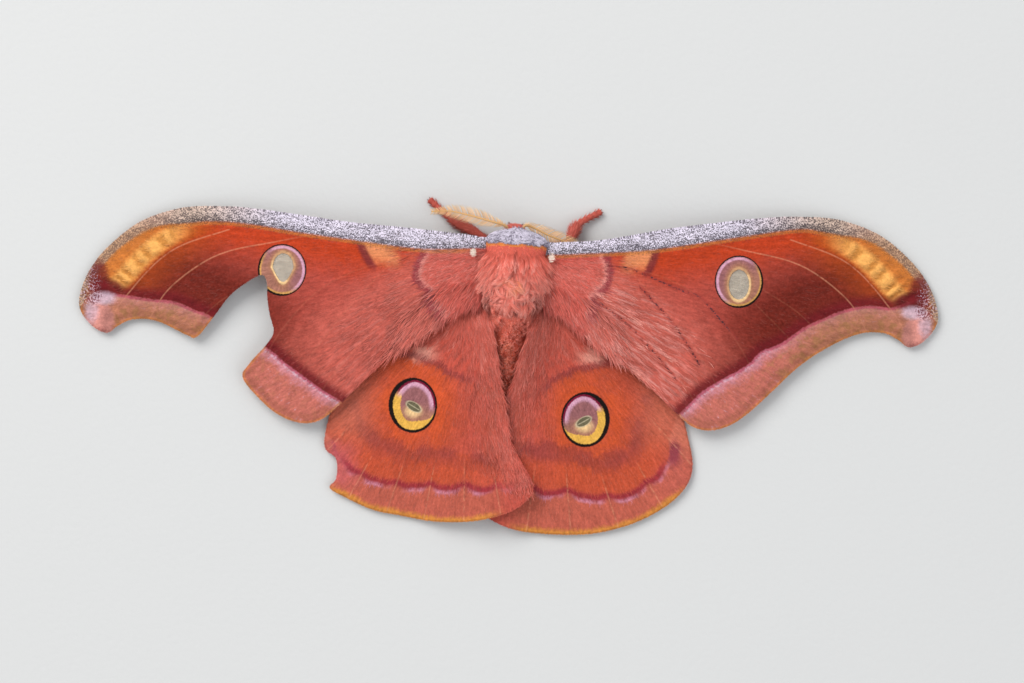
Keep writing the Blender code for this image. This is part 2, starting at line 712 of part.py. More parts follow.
def leg(name, joints):
    """Make one leg from its thigh inside the thorax to its flat-soled foot."""
    root, knee, ankle, tip = (Vector(joint) for joint in joints)
    path = []
    radii = []
    for t, radius in ((0.0, 0.9), (0.45, 1.0), (0.85, 0.8)):
        path.append(root.lerp(knee, t))
        radii.append(FEMUR_RADIUS * radius)
    for t, radius in ((0.0, 0.8), (0.2, 0.85), (0.6, 1.0), (0.92, 0.7)):
        path.append(knee.lerp(ankle, t))
        radii.append(TIBIA_RADIUS * radius)
    for pad in range(TARSUS_PADS):
        for edge, radius in ((0.1, 0.75), (0.85, 1.0)):
            path.append(ankle.lerp(tip, (pad + edge) / TARSUS_PADS))
            radii.append(TARSUS_RADIUS * radius)
    path.append(tip)
    radii.append(TARSUS_RADIUS * 0.6)
    return tube(name, path, radii, radii, LEG_SIDES, floor=0.0)


def path_spot(path, share):
    """Point at a share of a sampled path."""
    place = share * (len(path) - 1)
    i = min(int(place), len(path) - 2)
    return path[i].lerp(path[i + 1], place - i)


def antenna(name, points):
    """Make one feathered antenna: a shaft with a row of rays on each side."""
    path = smooth_path(points, 1.5)
    radii = []
    for i in range(len(path)):
        radii.append(ANTENNA_SHAFT_RADIUS * (1.0 - 0.35 * i / (len(path) - 1)))
    rays = []
    up = Vector((0.0, 0.0, 1.0))
    for pair in range(ANTENNA_RAY_PAIRS):
        start, end = ANTENNA_RAY_RANGE
        t = start + (end - start) * pair / (ANTENNA_RAY_PAIRS - 1)
        root = path_spot(path, t)
        forward = (path_spot(path, t + 0.03) - path_spot(path, t - 0.03)).normalized()
        aside = forward.cross(up).normalized()
        full = smoothstep(*ANTENNA_FULL_RANGE, t)
        full *= 1.0 - 0.75 * smoothstep(*ANTENNA_TIP_RANGE, t)
        length = ANTENNA_RAY_LENGTH * (0.3 + 0.7 * full)
        for side in (-1.0, 1.0):
            lie = aside * side * math.sin(ANTENNA_RAY_LEAN) + forward * math.cos(ANTENNA_RAY_LEAN)
            ray = [root, root + lie * 0.55 * length, root + lie * length + forward * 0.12 * length]
            thick = [ANTENNA_RAY_THICKNESS, 0.9 * ANTENNA_RAY_THICKNESS]
            rays.append(tapered("ray", ray, [up] * 3, thick, thick))
    return fuse(tube(name, path, radii, radii, 6), rays)


def palp(name, side):
    """Make one short palp at the front of the head."""
    points = [(HEAD_MIDDLE[0] + side * x, y, z) for x, y, z in PALP_PATH]
    path = [body_point(point) for point in points]
    return tube(name, path, PALP_RADII, PALP_RADII, 6)


def body_cutters(*makers):
    """Forms grown by the gap, ready to cut a neighbour."""
    return [maker("cutter", GAP) for maker in makers]


def make_head_parts():
    """Make head, eyes, palps, antennae and collar."""
    def left_eye(name, grow):
        return eye_form(name, -1, grow)

    def right_eye(name, grow):
        return eye_form(name, 1, grow)

    cut_clear(head_form("head"), body_cutters(thorax_form, left_eye, right_eye))
    cut_clear(collar_form("collar"), body_cutters(head_form, left_eye, right_eye))
    for side, sign in (("left", -1), ("right", 1)):
        eye_form(f"eye_{side}", sign)
        cut_clear(palp(f"palp_{side}", sign), body_cutters(head_form))
        cut_clear(antenna(f"antenna_{side}", ANTENNA_PATHS[side]), body_cutters(head_form))


def make_wings():
    """Make the four wings, cut clear of the body."""
    whole = FORE_COSTA + FORE_TIP + FORE_TERMEN + FORE_TORNUS
    torn = FORE_COSTA + FORE_TIP + FORE_TERMEN[:1] + FORE_TEAR + FORE_TERMEN[3:] + FORE_TORNUS
    fore_outlines = {"right": whole, "left": torn}
    hind_outlines = {
        "right": HIND_LEADING + HIND_OUTER + HIND_INNER,
        "left": HIND_LEADING + HIND_OUTER_WORN + HIND_INNER,
    }
    hind_heights = {"right": hind_height, "left": upper_hind_height}
    for side in ("right", "left"):
        mirror = side == "left"
        fore = wing_sheet(f"forewing_{side}", fore_outlines[side], list(FORE_VEINS.values()),
                          fore_height, mirror, FORE_EYESPOT[side])
        cut_clear(fore, body_cutters(thorax_form, collar_form))
        fuse(fore, lock_rows(BASE_LOCK_ROWS, BASE_LOCK_LIE, BASE_LOCK_LENGTH, BASE_LOCK_WIDTH,
                             BASE_LOCK_RISES, fore_height, mirror))
        hind = wing_sheet(f"hindwing_{side}", hind_outlines[side], hind_veins(),
                          hind_heights[side], mirror)
        cut_clear(hind, body_cutters(thorax_form, abdomen_form))
        fuse(hind, lock_rows(INNER_LOCK_ROWS[side], INNER_LOCK_LIE[side], INNER_LOCK_LENGTH,
                             INNER_LOCK_WIDTH, INNER_LOCK_RISES, hind_heights[side], mirror))


def make_legs():
    """Make the six legs, cut clear of the thorax."""
    for side, sign in (("left", -1.0), ("right", 1.0)):
        paths = {"fore": FORE_LEG_PATHS[side]}
        for pair, points in (("mid", MIDDLE_LEG_PATH), ("hind", HIND_LEG_PATH)):
            paths[pair] = [body_point((sign * x, y, z)) for x, y, z in points]
        for pair, path in paths.items():
            cut_clear(leg(f"leg_{pair}_{side}", path), body_cutters(thorax_form))


MATERIALS = {
    "wing": ((0.42, 0.07, 0.035, 1.0), 0.75),
    "pink_fur": ((0.62, 0.20, 0.14, 1.0), 0.9),
    "red_fur": ((0.40, 0.05, 0.03, 1.0), 0.85),
    "grey_fur": ((0.33, 0.25, 0.27, 1.0), 0.9),
    "antenna": ((0.52, 0.30, 0.10, 1.0), 0.7),
    "eye": ((0.03, 0.015, 0.012, 1.0), 0.2),
}
FINISH_OF = {
    "forewing": "wing", "hindwing": "wing", "thorax": "pink_fur", "abdomen": "red_fur",
    "head": "red_fur", "palp": "red_fur", "leg": "red_fur", "collar": "grey_fur",
    "antenna": "antenna", "eye": "eye",
}


def make_material(name, colour, roughness):
    """Make a plain material from a colour and a roughness."""
    material = bpy.data.materials.new(name)
    material.use_nodes = True
    shader = material.node_tree.nodes["Principled BSDF"]
    shader.inputs["Base Color"].default_value = colour
    shader.inputs["Roughness"].default_value = roughness
    shader.inputs["Metallic"].default_value = 0.0
    return material


def finish_pieces():
    """Scale every piece to metres, set it on the origin and give it its material."""
    materials = {name: make_material(name, *values) for name, values in MATERIALS.items()}
    moth = bpy.data.objects.new("moth", None)
    bpy.context.scene.collection.objects.link(moth)
    moth.location = (-BOX_MIDDLE[0] * MM, -BOX_MIDDLE[1] * MM, 0.0)
    for thing in [thing for thing in bpy.data.objects if thing.type == 'MESH']:
        thing.data.transform(Matrix.Scale(MM, 4))
        thing.parent = moth
        thing.data.materials.clear()
        thing.data.materials.append(materials[FINISH_OF[thing.name.split("_")[0]]])


def main():
    """Build the moth."""
    for old in list(bpy.data.objects):
        bpy.data.objects.remove(old)
    make_thorax()
    abdomen_form("abdomen")
    make_head_parts()
    make_wings()
    make_legs()
    finish_pieces()


main()
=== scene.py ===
"""The looks of a tussar silk moth, life size, over its fixed solids.

Plans and sections are in millimetres, in the frame of the wings' own axis, with the head
toward +Y.  Wings are described for the moth's right side and mirrored for its left.
"""

import logging
import math
from collections.abc import Callable
from dataclasses import dataclass, field
from enum import Enum

import bpy
import numpy as np
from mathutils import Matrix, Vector
from mathutils.geometry import delaunay_2d_cdt


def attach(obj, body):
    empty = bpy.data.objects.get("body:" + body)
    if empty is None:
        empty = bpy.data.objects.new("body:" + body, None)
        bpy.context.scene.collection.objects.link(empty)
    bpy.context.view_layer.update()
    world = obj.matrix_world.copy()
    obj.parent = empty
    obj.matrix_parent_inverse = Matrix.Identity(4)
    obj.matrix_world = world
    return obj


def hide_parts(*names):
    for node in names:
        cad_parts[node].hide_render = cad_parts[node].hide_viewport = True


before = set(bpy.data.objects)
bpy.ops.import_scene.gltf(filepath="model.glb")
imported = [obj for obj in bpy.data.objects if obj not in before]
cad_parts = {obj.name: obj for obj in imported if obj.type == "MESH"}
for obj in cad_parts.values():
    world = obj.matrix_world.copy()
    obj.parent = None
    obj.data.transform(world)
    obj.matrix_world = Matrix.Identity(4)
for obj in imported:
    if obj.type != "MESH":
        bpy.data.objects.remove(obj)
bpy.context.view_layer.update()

log = logging.getLogger("moth")
Array = np.ndarray
Colour = tuple[float, float, float]
Triple = tuple[float, float, float]
Span = tuple[float, float]
Plan = list[Span]
Density = Callable[[Array], Array]

MM = 0.001
BOX_MIDDLE = (0.0, -0.33)
BODY_YAW = math.radians(-3.3)
BODY_PULL = (6.0, 30.0)
PATCH = 0.003
# How many of its own lengths a line's last piece runs on in the measure along it
RUN_ON = 9.0
UP = np.array([0.0, 0.0, 1.0])


class Side(Enum):
    """Side of the moth."""

    LEFT = "left"
    RIGHT = "right"


class Region(Enum):
    """Parts of the body's skin that carry their own colours."""

    TRUNK = 0
    HEAD = 1
    LIMB = 2


# Plain arithmetic on arrays of points


def smoothstep(low: float, high: float, value: Array) -> Array:
    """Rise smoothly from 0 at low to 1 at high."""
    t = np.clip((np.asarray(value, float) - low) / (high - low), 0.0, 1.0)
    return t * t * (3.0 - 2.0 * t)


def bell(value: Array, width: float) -> Array:
    """Bell of height 1 round 0."""
    return np.exp(-(value / width) ** 2)


def unit(vectors: Array) -> Array:
    """Scale vectors to length 1."""
    return vectors / np.maximum(np.linalg.norm(vectors, axis=-1, keepdims=True), 1e-9)


def turned(points: Array, angle: float) -> Array:
    """Turn points about the vertical axis.

    Args:
        points: Points or directions, with x, y and z along the last axis.
        angle: Angle in radians, counter-clockwise from above.

    Returns:
        The turned points.
    """
    c, s = math.cos(angle), math.sin(angle)
    x, y, z = points[..., 0], points[..., 1], points[..., 2]
    return stacked(x * c - y * s, x * s + y * c, z)


def stacked(*parts: Array | float) -> Array:
    """Set numbers side by side along a new last axis, such as x, y and z."""
    return np.stack(np.broadcast_arrays(*parts), axis=-1)


def repeated(values: Array, each: int) -> Array:
    """Repeat every value for each hair of its lock, as one column."""
    return np.repeat(values, each)[:, None]


def to_world(points: Array) -> Array:
    """Carry millimetres of the wings' frame into metres of the row frame."""
    return (points - np.array([BOX_MIDDLE[0], BOX_MIDDLE[1], 0.0])) * MM


def smooth_path(points: list, step: float, closed: bool = False) -> Array:
    """Sample a smooth curve through points.

    Args:
        points: The points that the curve passes.
        step: Distance between samples.
        closed: Whether the curve runs back to its first point.

    Returns:
        The samples, one a row.
    """
    knots = np.array(points, float)
    count = len(knots)
    samples = []
    for i in range(count if closed else count - 1):
        start, end = knots[i], knots[(i + 1) % count]
        before = knots[i - 1] if closed or i > 0 else 2.0 * start - end
        after = knots[(i + 2) % count] if closed or i + 2 < count else 2.0 * end - start
        pieces = max(1, round(float(np.linalg.norm(end - start)) / step))
        t = (np.arange(pieces) / pieces)[:, None]
        samples.append(0.5 * (2.0 * start + (end - before) * t
                              + (2.0 * before - 5.0 * start + 4.0 * end - after) * t ** 2
                              + (3.0 * start - before - 3.0 * end + after) * t ** 3))
    if not closed:
        samples.append(knots[-1:])
    return np.concatenate(samples)


def path_field(points: Array, path: Array) -> tuple[Array, Array]:
    """Find how points of the plan lie to a path.

    Args:
        points: Points of the plan, one a row.
        path: Sampled path.

    Returns:
        The distance, positive on the path's left, and the length run along the path.
    """
    best = np.full(len(points), np.inf)
    signed = np.zeros(len(points))
    along = np.zeros(len(points))
    run = 0.0
    last = len(path) - 2
    for i, (a, b) in enumerate(zip(path, path[1:])):
        way = b - a
        length = math.hypot(*way)
        off = points - a
        t = (off @ way) / length ** 2
        held = np.clip(t, 0.0, 1.0)
        distance = np.linalg.norm(off - held[:, None] * way, axis=1)
        side = np.sign(way[0] * off[:, 1] - way[1] * off[:, 0])
        closer = distance < best - 1e-9
        best = np.where(closer, distance, best)
        signed = np.where(closer, side * distance, signed)
        free = np.clip(t, -RUN_ON if i == 0 else 0.0, RUN_ON if i == last else 1.0)
        along = np.where(closer, run + free * length, along)
        run += length
    return signed, along


def gap(points: Array, line: Plan, step: float) -> Array:
    """Measure the distance to a smooth line of the plan, positive on its left."""
    return path_field(points, smooth_path(line, step))[0]


def inside(points: Array, outline: Array) -> Array:
    """Tell which points of the plan lie inside a closed outline."""
    odd = np.zeros(len(points), bool)
    for a, b in zip(outline, np.roll(outline, -1, axis=0)):
        spans = (a[1] > points[:, 1]) != (b[1] > points[:, 1])
        if a[1] != b[1]:
            cut = a[0] + (points[:, 1] - a[1]) * (b[0] - a[0]) / (b[1] - a[1])
            odd ^= spans & (points[:, 0] < cut)
    return odd


# Shader arithmetic


class Signal:
    """One number of a node tree, which takes part in plain arithmetic."""

    def __init__(self, recipe: "Recipe", socket: bpy.types.NodeSocket) -> None:
        """Keep the socket and the recipe that it belongs to."""
        self.recipe = recipe
        self.socket = socket

    def __add__(self, other: "Number") -> "Signal":
        """Sum."""
        return self.recipe.math("ADD", self, other)

    def __sub__(self, other: "Number") -> "Signal":
        """Difference."""
        return self.recipe.math("SUBTRACT", self, other)

    def __rsub__(self, other: "Number") -> "Signal":
        """Difference from a number."""
        return self.recipe.math("SUBTRACT", other, self)

    def __mul__(self, other: "Number") -> "Signal":
        """Product."""
        return self.recipe.math("MULTIPLY", self, other)

    def __truediv__(self, other: "Number") -> "Signal":
        """Quotient."""
        return self.recipe.math("DIVIDE", self, other)

    def __pow__(self, other: "Number") -> "Signal":
        """Power."""
        return self.recipe.math("POWER", self, other)

    __radd__ = __add__
    __rmul__ = __mul__

    def size(self) -> "Signal":
        """Size without its sign."""
        return self.recipe.math("ABSOLUTE", self)

    def rise(self, low: float, high: float) -> "Signal":
        """Climb smoothly from 0 at low to 1 at high."""
        return self.recipe.climb(self, low, high, 0.0, 1.0)

    def fall(self, low: float, high: float) -> "Signal":
        """Drop smoothly from 1 at low to 0 at high."""
        return self.recipe.climb(self, low, high, 1.0, 0.0)

    def stripe(self, middle: float, half: float, soft: float) -> "Signal":
        """Be 1 within half of middle, and fall to 0 over soft."""
        return (self - middle).size().fall(half, half + soft)


Number = float | Signal


class Recipe:
    """A material's node tree, from its first mask to its shader."""

    def __init__(self, name: str) -> None:
        """Start a material with one shader."""
        self.material = bpy.data.materials.new(name)
        self.material.use_nodes = True
        self.tree = self.material.node_tree
        self.shader = self.tree.nodes["Principled BSDF"]

    def feed(self, socket: bpy.types.NodeSocket, value: object) -> None:
        """Set or link a socket.

        Args:
            socket: The socket to feed.
            value: A constant, another node's output, or a signal.
        """
        source = value.socket if isinstance(value, Signal) else value
        if isinstance(source, bpy.types.NodeSocket):
            self.tree.links.new(source, socket)
        elif socket.type == "RGBA":
            socket.default_value = (*source[:3], 1.0)
        else:
            socket.default_value = source

    def node(self, kind: str, inputs: dict, **settings: object) -> bpy.types.Node:
        """Add a node.

        Args:
            kind: The node's type, without its common beginning.
            inputs: Values or links of its sockets, by name or place.
            settings: Its own settings, which are set first.

        Returns:
            The new node.
        """
        made = self.tree.nodes.new("ShaderNode" + kind)
        for key, value in settings.items():
            setattr(made, key, value)
        for key, value in inputs.items():
            self.feed(made.inputs[key], value)
        return made

    def math(self, operation: str, *values: Number) -> Signal:
        """Add one step of arithmetic on numbers."""
        made = self.node("Math", dict(enumerate(values)), operation=operation)
        return Signal(self, made.outputs[0])

    def climb(self, value: Signal, low: float, high: float, start: float, end: float) -> Signal:
        """Map a range smoothly onto another one.

        Args:
            value: The signal to map.
            low: Where the range starts.
            high: Where it ends.
            start: Result at low.
            end: Result at high.

        Returns:
            The mapped signal.
        """
        ends = {1: low, 2: high, 3: start, 4: end}
        made = self.node("MapRange", {0: value, **ends}, interpolation_type="SMOOTHSTEP")
        return Signal(self, made.outputs[0])

    def attribute(self, name: str) -> bpy.types.NodeSocket:
        """Read a vector that the mesh carries."""
        return self.node("Attribute", {}, attribute_name=name).outputs["Vector"]

    def parts(self, name: str) -> tuple[Signal, Signal, Signal]:
        """Read the three numbers of a vector that the mesh carries."""
        made = self.node("SeparateXYZ", {0: self.attribute(name)})
        return tuple(Signal(self, made.outputs[k]) for k in range(3))

    def noise(self, place: str | bpy.types.NodeSocket, scale: float, detail: float = 2.0,
              shift: float = 0.0, stretch: Colour = (1, 1, 1)) -> Signal:
        """Add cloudy noise.

        Args:
            place: Vector that the noise is read at, or the name of one that the mesh carries.
            scale: Features a millimetre.
            detail: Octaves.
            shift: Offset that makes one noise unlike another.
            stretch: Share of the scale along each axis.

        Returns:
            A signal round 0.5.
        """
        place = self.attribute(place) if isinstance(place, str) else place
        moved = self.node("VectorMath", {0: place, 1: stretch, 2: (shift,) * 3},
                          operation="MULTIPLY_ADD")
        made = self.node("TexNoise", {"Vector": moved.outputs[0], "Scale": scale,
                                      "Detail": detail, "Roughness": 0.6})
        return Signal(self, made.outputs[0])

    def paint(self, under: object, over: object, mask: Number) -> bpy.types.NodeSocket:
        """Lay one colour over another where a mask says."""
        made = self.node("Mix", {0: mask, 6: under, 7: over}, data_type="RGBA")
        return made.outputs[2]

    def layers(self, under: object, *coats: tuple[object, Number]) -> bpy.types.NodeSocket:
        """Lay colours over one another in order, each where its own mask says."""
        for over, mask in coats:
            under = self.paint(under, over, mask)
        return under

    def oval(self, across: Signal, ahead: Signal, wide: float = 1.0,
             deep: float = 1.0) -> Signal:
        """Read how far out of an oval's middle a point lies."""
        return (across * across * wide + ahead * ahead * deep) ** 0.5

    def lit(self, colour: object, amount: Number) -> bpy.types.NodeSocket:
        """Make a colour lighter or darker by a factor."""
        made = self.node("VectorMath", {0: colour, 3: amount}, operation="SCALE")
        return made.outputs[0]

    def bump(self, height: Signal, depth: float, strength: float = 1.0) -> None:
        """Raise the surface by a signal of some depth in millimetres."""
        made = self.node("Bump", {"Height": height, "Distance": depth * MM,
                                  "Strength": strength})
        self.feed(self.shader.inputs["Normal"], made.outputs[0])

    def finish(self, colour: object, roughness: Number, **constants: object) -> bpy.types.Material:
        """Feed the shader.

        Args:
            colour: Base colour.
            roughness: Roughness.
            constants: Other sockets, with underscores for blanks.

        Returns:
            The finished material.
        """
        self.feed(self.shader.inputs["Base Color"], colour)
        self.feed(self.shader.inputs["Roughness"], roughness)
        for name, value in constants.items():
            socket = name.replace("_", " ").title().replace("Ior", "IOR")
            self.feed(self.shader.inputs[socket], value)
        return self.material


# Finishes


@dataclass(frozen=True)
class Eyespot:
    """Ringed spot of a wing, with its clear window."""

    middle: Span
    half_size: Span
    window: Span
    window_half: Span
    window_tilt: float = 0.0
    point: float = 0.0
    rim: Colour = (0.010, 0.006, 0.005)
    arc: Colour = (0.72, 0.38, 0.52)
    disc: Colour = (0.32, 0.125, 0.130)
    rust: Colour = (0.42, 0.185, 0.105)
    gold: Colour = (0.76, 0.42, 0.075)
    glow: Colour = (0.90, 0.60, 0.29)
    glass: Colour = (0.85, 0.74, 0.60)

    def place(self, r: Recipe) -> tuple[Signal, Signal, Signal]:
        """Read how far out a point lies, and its way outward and forward."""
        x, y, _ = r.parts("plan")
        across = (x - self.middle[0]) / self.half_size[0]
        ahead = (y - self.middle[1]) / self.half_size[1]
        far = r.oval(across, ahead)
        return far, across / (far + 0.001), ahead / (far + 0.001)

    def rays(self, r: Recipe) -> Signal:
        """Read fine streaks that run out from the spot's middle."""
        far, out, ahead = self.place(r)
        angle = r.math("ARCTAN2", ahead, out)
        spread = r.node("CombineXYZ", {0: angle, 1: far * 0.12, 2: 0.0})
        return r.noise(spread.outputs[0], 9.0, detail=4.0)

    def window_place(self, r: Recipe) -> Signal:
        """Read how far out of the window's own oval a point lies."""
        x, y, _ = r.parts("plan")
        c, s = math.cos(self.window_tilt), math.sin(self.window_tilt)
        x, y = x - self.window[0], y - self.window[1]
        across = (x * c + y * s) / self.window_half[0]
        ahead = (y * c - x * s) / self.window_half[1]
        across = across * (1.0 + self.point * r.math("MAXIMUM", 0.0, 0.0 - ahead))
        return r.oval(across, ahead)


@dataclass(frozen=True)
class ForeEyespot(Eyespot):
    """Forewing's spot: a thin dark rim round a mauve disc and a large clear oval."""

    def draw(self, r: Recipe, ground: object) -> tuple[bpy.types.NodeSocket, Number]:
        """Paint the spot.

        Args:
            r: The material's recipe.
            ground: Colour round the spot.

        Returns:
            The new colour, and how much the window lets through.
        """
        far, out, ahead = self.place(r)
        rays = self.rays(r)
        far = far + (r.noise("plan", 4.0) - 0.5) * 0.06
        outer = (out * 0.72 - ahead * 0.7).rise(-0.2, 0.6)
        inner = (ahead * 0.55 - out * 0.83).rise(-0.35, 0.5)
        edge = 0.955 - 0.035 * (out * 0.8 - ahead * 0.6).rise(0.0, 0.8)
        window = self.window_place(r) + (rays - 0.5) * 0.12
        disc = r.paint(self.rust, self.disc, window.rise(1.1, 1.75) * (1.0 - 0.6 * outer))
        disc = r.lit(disc, 0.5 + rays * 0.95)
        disc = r.layers(
            disc,
            (self.gold, outer * far.rise(0.82, 0.9) * 0.6),
            (self.arc, inner * far.stripe(0.885, 0.015, 0.07) * 0.85),
            (self.glow, window.stripe(1.09, 0.03, 0.17) * (0.3 + 0.6 * outer)))
        clear = window.fall(0.96, 1.04)
        disc = r.paint(disc, self.glass, clear)
        spot = r.paint(disc, self.rim, (far - edge).rise(-0.015, 0.015))
        return r.paint(ground, spot, far.fall(0.985, 1.02)), clear


@dataclass(frozen=True)
class HindEyespot(Eyespot):
    """Hindwing's spot: a dark ring thick on its outer side, gold below and mauve above."""

    wine: Colour = (0.20, 0.008, 0.035)
    window_shadow: Colour = (0.150, 0.130, 0.075)
    vein: Colour = (0.52, 0.45, 0.30)

    def draw(self, r: Recipe, ground: object) -> tuple[bpy.types.NodeSocket, Number]:
        """Paint the spot.

        Args:
            r: The material's recipe.
            ground: Colour round the spot.

        Returns:
            The new colour, and 0, because the narrow window is painted opaque with the painted shadow of
            the floor seen through it.
        """
        far, out, ahead = self.place(r)
        rays = self.rays(r)
        far = far + (r.noise("plan", 4.0, detail=3.0) - 0.5) * 0.09
        edge = 0.925 - 0.105 * (out * 0.95 + ahead * 0.3).rise(0.1, 1.0)
        edge = edge - 0.03 * ahead.fall(-1.0, 0.0)
        above = (ahead * 0.94 - out * 0.34).rise(0.0, 0.45)
        below = (out * 0.72 - ahead * 0.7).rise(-0.62, 0.5)
        inset = far - edge
        disc = r.paint(self.disc, self.rust, (ahead * far).fall(-0.5, 0.2) * 0.7)
        disc = r.lit(disc, 0.6 + rays * 0.8)
        gold = r.lit(self.gold, 0.8 + rays * 0.4)
        disc = r.layers(
            disc,
            (gold, (inset + below * 0.33 + (rays - 0.5) * 0.1).rise(0.0, 0.05)),
            (self.arc, above * inset.stripe(-0.13, 0.015, 0.17) * 0.9),
            (self.wine, above * inset.rise(-0.10, -0.05)))
        window = self.window_place(r)
        x, y, _ = r.parts("plan")
        glow = r.oval(x - self.window[0] - 0.1, y - self.window[1] + 0.75, 0.6).fall(0.3, 1.7)
        disc = r.layers(
            disc,
            (self.glow, glow * 0.95),
            (self.vein, window.fall(1.05, 1.25) * 0.7),
            # The clear window painted dark olive: painted shadow of the floor seen through it.
            (self.window_shadow, window.fall(0.85, 1.02)))
        c, s = math.cos(self.window_tilt), math.sin(self.window_tilt)
        line = ((y - self.window[1]) * c - (x - self.window[0]) * s).size().fall(0.04, 0.14)
        disc = r.paint(disc, self.vein, line * window.fall(0.6, 1.0) * 0.7)
        spot = r.paint(disc, self.rim, inset.rise(-0.018, 0.018))
        return r.paint(ground, spot, far.fall(0.98, 1.02)), 0.0


@dataclass(frozen=True)
class WingFinish:
    """Colours that both pairs of wings share, and the velvet of their scales."""

    name: str
    spot: Eyespot
    vein: Colour = (0.72, 0.31, 0.18)
    fur: Colour = (0.58, 0.092, 0.068)
    fur_tip: Colour = (0.96, 0.40, 0.33)
    fur_shade: Colour = (0.34, 0.045, 0.038)
    margin: Colour = (0.55, 0.20, 0.05)
    margin_shade: Colour = (0.20, 0.07, 0.03)

    def pattern(self, r: Recipe) -> tuple[bpy.types.NodeSocket, Number]:
        """Paint the wing's own pattern; each pair has its own."""
        raise NotImplementedError

    def grain(self, r: Recipe, colour: object) -> bpy.types.NodeSocket:
        """Break a colour up into scales that run out from the wing's root."""
        streaks = r.noise("polar", 1.0, stretch=(0.5, 2.1, 1.0), detail=4.0, shift=3.0)
        dust = r.noise("plan", 2.6, detail=3.0, shift=9.0)
        clouds = r.noise("plan", 0.35, detail=3.0, shift=5.0)
        return r.lit(colour, streaks * 0.95 + dust * 0.75 + clouds * 0.3)

    def skin(self) -> bpy.types.Material:
        """Make the material of the wing's sheet."""
        r = Recipe(self.name)
        colour, clear = self.pattern(r)
        relief = r.noise("polar", 1.0, stretch=(0.7, 2.6, 1.0), detail=5.0, shift=1.0)
        relief = relief + 0.5 * r.noise("plan", 4.0, detail=3.0)
        r.bump(relief * (1.0 - clear), 0.22, 0.8)
        rough = 0.62 + relief * 0.15 - clear * 0.45
        return r.finish(self.grain(r, colour), rough, alpha=1.0 - clear * 0.72,
                        specular_ior_level=0.1)

    def coat(self) -> bpy.types.Material:
        """Make the material of the wing's hair, which repeats the sheet's pattern."""
        r = Recipe(self.name + "_hair")
        colour, _ = self.pattern(r)
        along, chance, light = r.parts("hair")
        colour = r.lit(self.grain(r, colour), 0.8 + chance * 0.4)
        colour = r.paint(colour, self.fur_tip, along.rise(0.1, 1.0) * light)
        # Darker toward each hair's root and lighter toward its tip: painted shade between the hairs.
        colour = r.lit(colour, 0.9 + along * 0.2)
        return r.finish(colour, 0.6, specular_ior_level=0.2)


